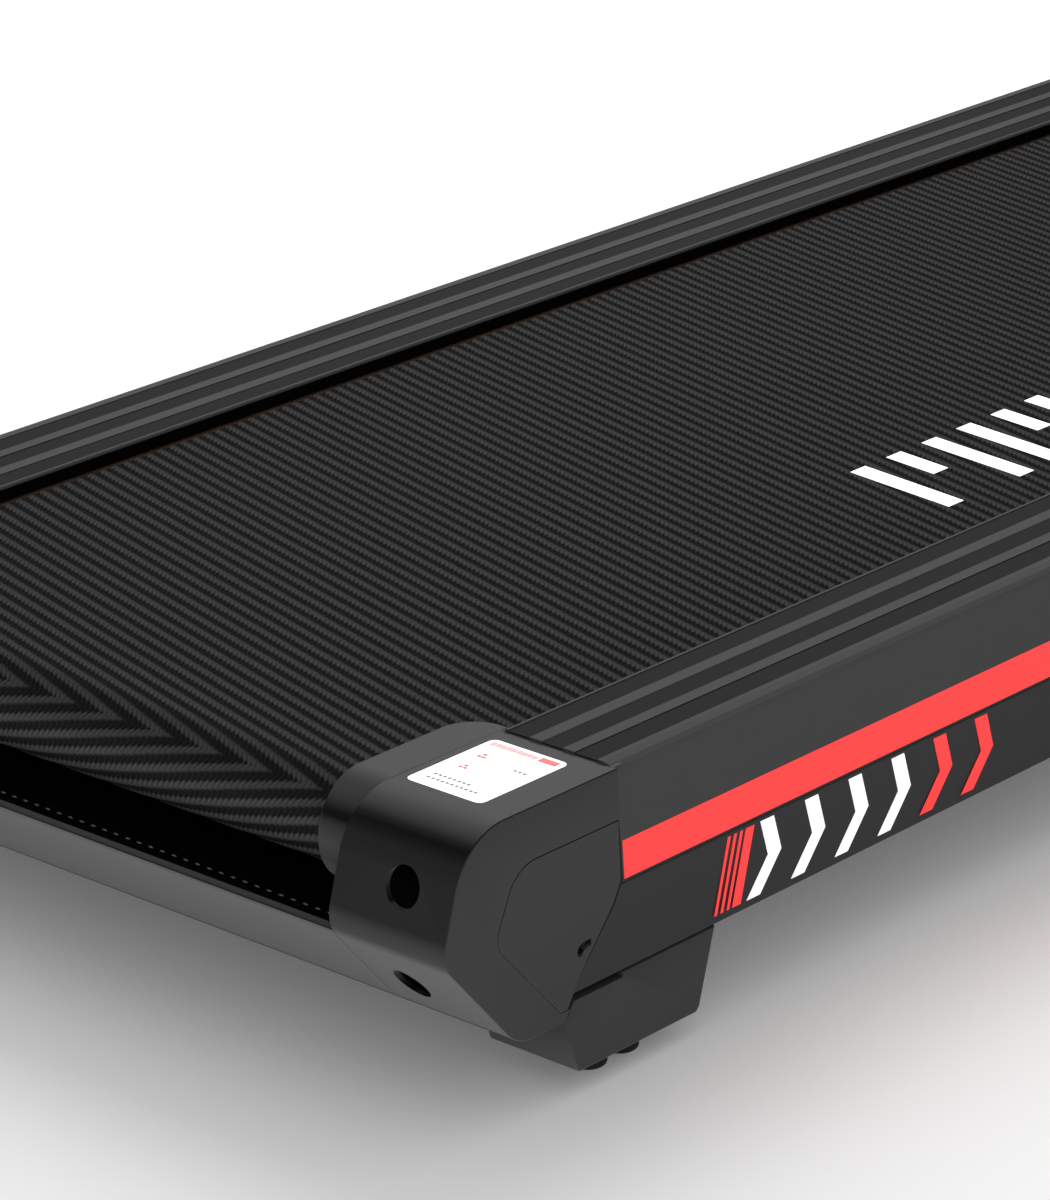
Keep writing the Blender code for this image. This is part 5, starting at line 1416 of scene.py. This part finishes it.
def makeKeySigns():
    # a triangle starts, a square stops, and minus and plus change the speed
    look = consoleLook
    row = look["keyRow"]
    top = look["panel"] + look["keyHeight"]
    low, high = -0.1 * mm, 0.25 * mm
    triangle = slab(inMetres([(-3.2, -4.2), (4.6, 0.0), (-3.2, 4.2)]), low, high, "Z")
    newPiece("start_sign", onConsole(triangle, look["startX"], row, top), darkVinyl, "start_key")
    square = slab(roundedLoop(7 * mm, 7 * mm, 0.8 * mm), low, high, "Z")
    newPiece("stop_sign", onConsole(square, look["stopX"], row, top), whiteVinyl, "stop_key")
    lying, standing = (7 * mm, 1.6 * mm, 0.3 * mm), (1.6 * mm, 7 * mm, 0.4 * mm)
    for name, x, bars in (("slower", look["slowerX"], [lying]),
                          ("faster", look["fasterX"], [lying, standing])):
        mark = bmesh.new()
        for size in bars:
            addBlock(mark, (0, 0, 0), size)
        mark = onConsole(mark, x, row, top - 0.2 * mm)
        newPiece(f"{name}_sign", mark, darkVinyl, "speed_key")


def makeConsoleTrim():
    # rings round the keys, speaker ribs and red edge lines
    look = consoleLook
    top = look["panel"]
    for name, x in (("start", look["startX"]), ("stop", look["stopX"])):
        ring = onConsole(turned(inMetres(look["ring"]), (0, 0, 0), 48), x, look["keyRow"], top)
        newPiece(f"{name}_ring", ring, glossAbs, "base")
    for i in range(look["speakerRibs"]):
        bar = roundBar(46 * mm, 1.8 * mm, 0.8 * mm)
        bar = onConsole(bar, look["speakerX"] * (-1) ** i, (20 + 4.5 * (i // 2)) * mm, top - 0.1 * mm)
        rib = newPiece(f"speaker_rib_{i}", bar, consoleAbs, "base")
        softEdges(rib, 0.4 * mm, 2, 40.0)
    for side, sign in sides:
        trim = slab(roundedLoop(5 * mm, look["trimLength"], 2.4 * mm), -0.2 * mm, 0.6 * mm, "Z")
        trim = onConsole(trim, sign * look["trimX"], 0.0, top)
        newPiece(f"console_trim_{side}", trim, redVinyl, "base")


# radius and height in mm, from the middle of the floor over the rim to the inside
cupProfile = ((0.0, -54.6), (39.4, -54.6), (39.4, 0.6), (40.6, 1.8), (42.4, 1.4), (43.2, 0.3), (43.2, -0.4),
              (41.0, 0.2), (38.2, 0.0), (37.6, -1.0), (37.0, -50.0), (35.0, -52.4), (0.0, -53.0))


def makeCupLiners():
    # a turned rubber cup with a rolled rim in each tray
    for side, _ in sides:
        low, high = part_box(f"cup_tray_{side}")
        centre = ((low.x + high.x) / 2, consoleLook["middle"][1], high.z)
        newPiece(f"cup_liner_{side}", turned(inMetres(cupProfile), centre, 56), footRubber, "base")


# ---- grips, wheels, uprights and floor frame

gripLook = {                   # lengths in mm
    "droop": 15.0,             # degrees below the level
    "bore": 16.4,
    "radius": 21.4,
    "length": 190.0,
    "ends": ((19.2, 0.2), (20.8, 1.6)),
    "grooved": (4.0, 186.0),
    "groovePitch": 26.0,
    "grooveDepth": 0.9,
    "steps": 60,
}


def gripProfile():
    # the bore, a rounded end, finger grooves that fade out towards both ends, and the other end
    look = gripLook
    first, last = look["grooved"]
    steps = look["steps"]
    profile = [(look["bore"], 0.0), *look["ends"]]
    for i in range(steps + 1):
        place = first + (last - first) * i / steps
        wave = 0.5 - 0.5 * math.cos(math.tau * place / look["groovePitch"])
        fade = math.sin(math.pi * i / steps) ** 0.5
        profile.append((look["radius"] - look["grooveDepth"] * wave * fade, place))
    profile += [(radius, look["length"] - place) for radius, place in look["ends"][::-1]]
    return profile + [(look["bore"], look["length"]), (look["bore"], 0.0)]


def makeGrips():
    # foam sleeves drawn in at their ends
    droop = math.radians(gripLook["droop"])
    direction = Vector((0.0, -math.cos(droop), -math.sin(droop)))
    turn = direction.to_track_quat("Z", "Y").to_matrix().to_4x4()
    for side, _ in sides:
        low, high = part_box(f"grip_{side}")
        radius = (high.x - low.x) / 2
        end = Vector(((low.x + high.x) / 2, high.y - radius * math.sin(droop),
                      high.z - radius * math.cos(droop)))
        shape = transformed(turned(inMetres(gripProfile()), (0, 0, 0), 40), Matrix.Translation(end) @ turn)
        grip = newPiece(f"foam_grip_{side}", shape, gripFoam, "base", (f"grip_{side}",), 50.0)


wheelLook = {
    # half of each profile, as radius and distance from the middle in mm; a distance of 0 or less is
    # measured from the wheel's side
    "tyre": ((22.5, -1), (24.0, 0), (28.5, 0), (30.0, -2.0), (30.0, 4.2), (29.0, 3.6), (29.0, 2.6),
             (30.0, 2.0)),
    "hub": ((5.6, -1), (9.0, -1), (10.0, -3), (10.0, 3), (20.0, 2.4), (20.6, -2), (22.4, -1.4)),
    "spokes": 6,
    "spoke": (2.6 * mm, 11.5 * mm),      # thickness and length
    "spokeInset": 3.0 * mm,
    "spokeMiddle": 15.2 * mm,
}


def wheelProfile(halfProfile, half):
    # the whole profile of a part that is the same on both sides of the wheel
    near = [(r, d if d > 0 else half + d) for r, d in halfProfile]
    return [(r, -d) for r, d in near] + near[::-1] + [(near[0][0], -near[0][1])]


def makeWheels():
    # a rubber tyre with two grooves on a moulded hub with six spokes
    look = wheelLook
    for side, _ in sides:
        low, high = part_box(f"wheel_{side}")
        centre = (low + high) / 2
        half = (high.x - low.x) / 2 / mm
        body = f"wheel_{side}"
        tyre = turned(inMetres(wheelProfile(look["tyre"], half)), centre, 64, "X")
        newPiece(f"wheel_tyre_{side}", tyre, treadRubber, body, (body,))
        hub = turned(inMetres(wheelProfile(look["hub"], half)), centre, 48, "X")
        newPiece(f"wheel_hub_{side}", hub, keyAbs, body)
        spokes = bmesh.new()
        thick, length = look["spoke"]
        size = (high.x - low.x - 2 * look["spokeInset"], thick, length)
        for i in range(look["spokes"]):
            made = addBlock(spokes, (0, 0, look["spokeMiddle"]), size)
            turn = Matrix.Rotation(math.tau * i / look["spokes"], 3, "X")
            bmesh.ops.rotate(spokes, matrix=turn, verts=made)
        transformed(spokes, Matrix.Translation(centre))
        softEdges(newPiece(f"wheel_spokes_{side}", spokes, keyAbs, body), 0.5 * mm, 2, 40.0)


frameLook = {
    "tube": (0.360, 0.028),    # middle of a floor tube's end
    "plug": (46.5 * mm, 36.5 * mm, 4 * mm),      # width, height, corner
    "plugDepths": (0.2 * mm, 6 * mm),
    "boot": (49.0 * mm, 96 * mm, 20 * mm),       # width, length, corner
    "bootMiddle": (0.3495, 0.606),
    "bootHeights": (0.0485, 0.080),
    "bootTaper": (0.885, 0.90),
    "bootTop": (0.3455, 0.610),
    "bootOpening": (40.4 * mm, 75.4 * mm, 19.9 * mm),
    "openingMiddle": (0.3455, 0.612),
    "bolt": ((0.0, -1), (6.2, -1), (6.2, 0.6), (5.2, 2.6), (2.6, 4.0), (0.0, 4.0)),      # mm
    "boltFace": 0.3655,
    "boltPlaces": ((0.712, 1.02), (0.716, 1.055)),
}


def makePlug(side, sign):
    look = frameLook
    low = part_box(f"floor_tube_{side}")[0]
    x, z = look["tube"]
    start, end = look["plugDepths"]
    plug = slab(roundedLoop(*look["plug"], (sign * x, z)), low.y + start, low.y + end, "Y")
    softEdges(newPiece(f"tube_plug_{side}", plug, hoodAbs, "base"), 1.2 * mm, 3, 40.0)


def makeBoot(side, sign):
    # a collar round the upright's foot, drawn in towards its top
    look = frameLook
    (x, y), (low, high) = look["bootMiddle"], look["bootHeights"]
    (topX, topY), (taperX, taperY) = look["bootTop"], look["bootTaper"]
    boot = slab(roundedLoop(*look["boot"], (sign * x, y), 10), low, high, "Z")
    for vert in boot.verts:
        if vert.co.z > (low + high) / 2:
            vert.co.x = sign * topX + (vert.co.x - sign * x) * taperX
            vert.co.y = topY + (vert.co.y - y) * taperY
    piece = newPiece(f"upright_boot_{side}", boot, hoodAbs, "base")
    x, y = look["openingMiddle"]
    opening = slab(roundedLoop(*look["bootOpening"], (sign * x, y), 10), low - 10 * mm, high + 20 * mm, "Z")
    bake(piece, [carve(piece, "bootOpening", opening)])
    softEdges(piece, 1.2 * mm, 2, 40.0)


def makeUprightBolts(side, sign):
    look = frameLook
    for i, (y, height) in enumerate(look["boltPlaces"]):
        bolt = turned(inMetres(look["bolt"]), (0, 0, 0), 32, "X")
        if sign < 0:
            transformed(bolt, Matrix.Rotation(math.pi, 4, "Z"))
        transformed(bolt, Matrix.Translation((sign * look["boltFace"], y, height)))
        newPiece(f"upright_bolt_{side}_{i}", bolt, blackSteel, "base")


makeHoodDetails()
makeScreen()
makeKeySigns()
makeConsoleTrim()
makeCupLiners()
makeGrips()
makeWheels()
for side, sign in sides:
    makePlug(side, sign)
    makeBoot(side, sign)
    makeUprightBolts(side, sign)
print("hood, console and frame details are on")


# ---- materials for the nodes that keep the frame's shape

# a key ending in _ stands for every node that starts with it
nodeMaterials = {
    "rail_": railPvc,
    "side_tube_": powderCoat,
    "deck_board": fibreboard,
    "cushion_strip_": footRubber,
    "cross_member": powderCoat,
    "rear_axle": turnedSteel,
    "rear_roller": turnedSteel,
    "front_roller": turnedSteel,
    "belt_bolt_": blackSteel,
    "floor_pad_": footRubber,
    "motor_cover": hoodAbs,
    "motor_plate": zincSteel,
    "motor_pulley": turnedSteel,
    "motor": powderCoat,
    "drive_belt": footRubber,
    "power_inlet": consoleAbs,
    "power_switch": redAbs,
    "floor_tube_": powderCoat,
    "base_cross_": powderCoat,
    "upright_": powderCoat,
    "handrail_": powderCoat,
    "console_housing": consoleAbs,
    "console_panel": hoodAbs,
    "display_screen": hoodAbs,
    "cup_tray_": consoleAbs,
    "start_key": keyAbs,
    "speed_key": keyAbs,
    "stop_key": redAbs,
    "safety_key": redAbs,
    "strut_cylinder": powderCoat,
    "strut_rod": turnedSteel,
    "release_lever": redAbs,
}
for name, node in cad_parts.items():
    family = [material for key, material in nodeMaterials.items() if name.startswith(key)]
    if family:
        node.data.materials.clear()
        node.data.materials.append(nodeMaterials.get(name, family[0]))
print("the frame's own nodes have their materials")
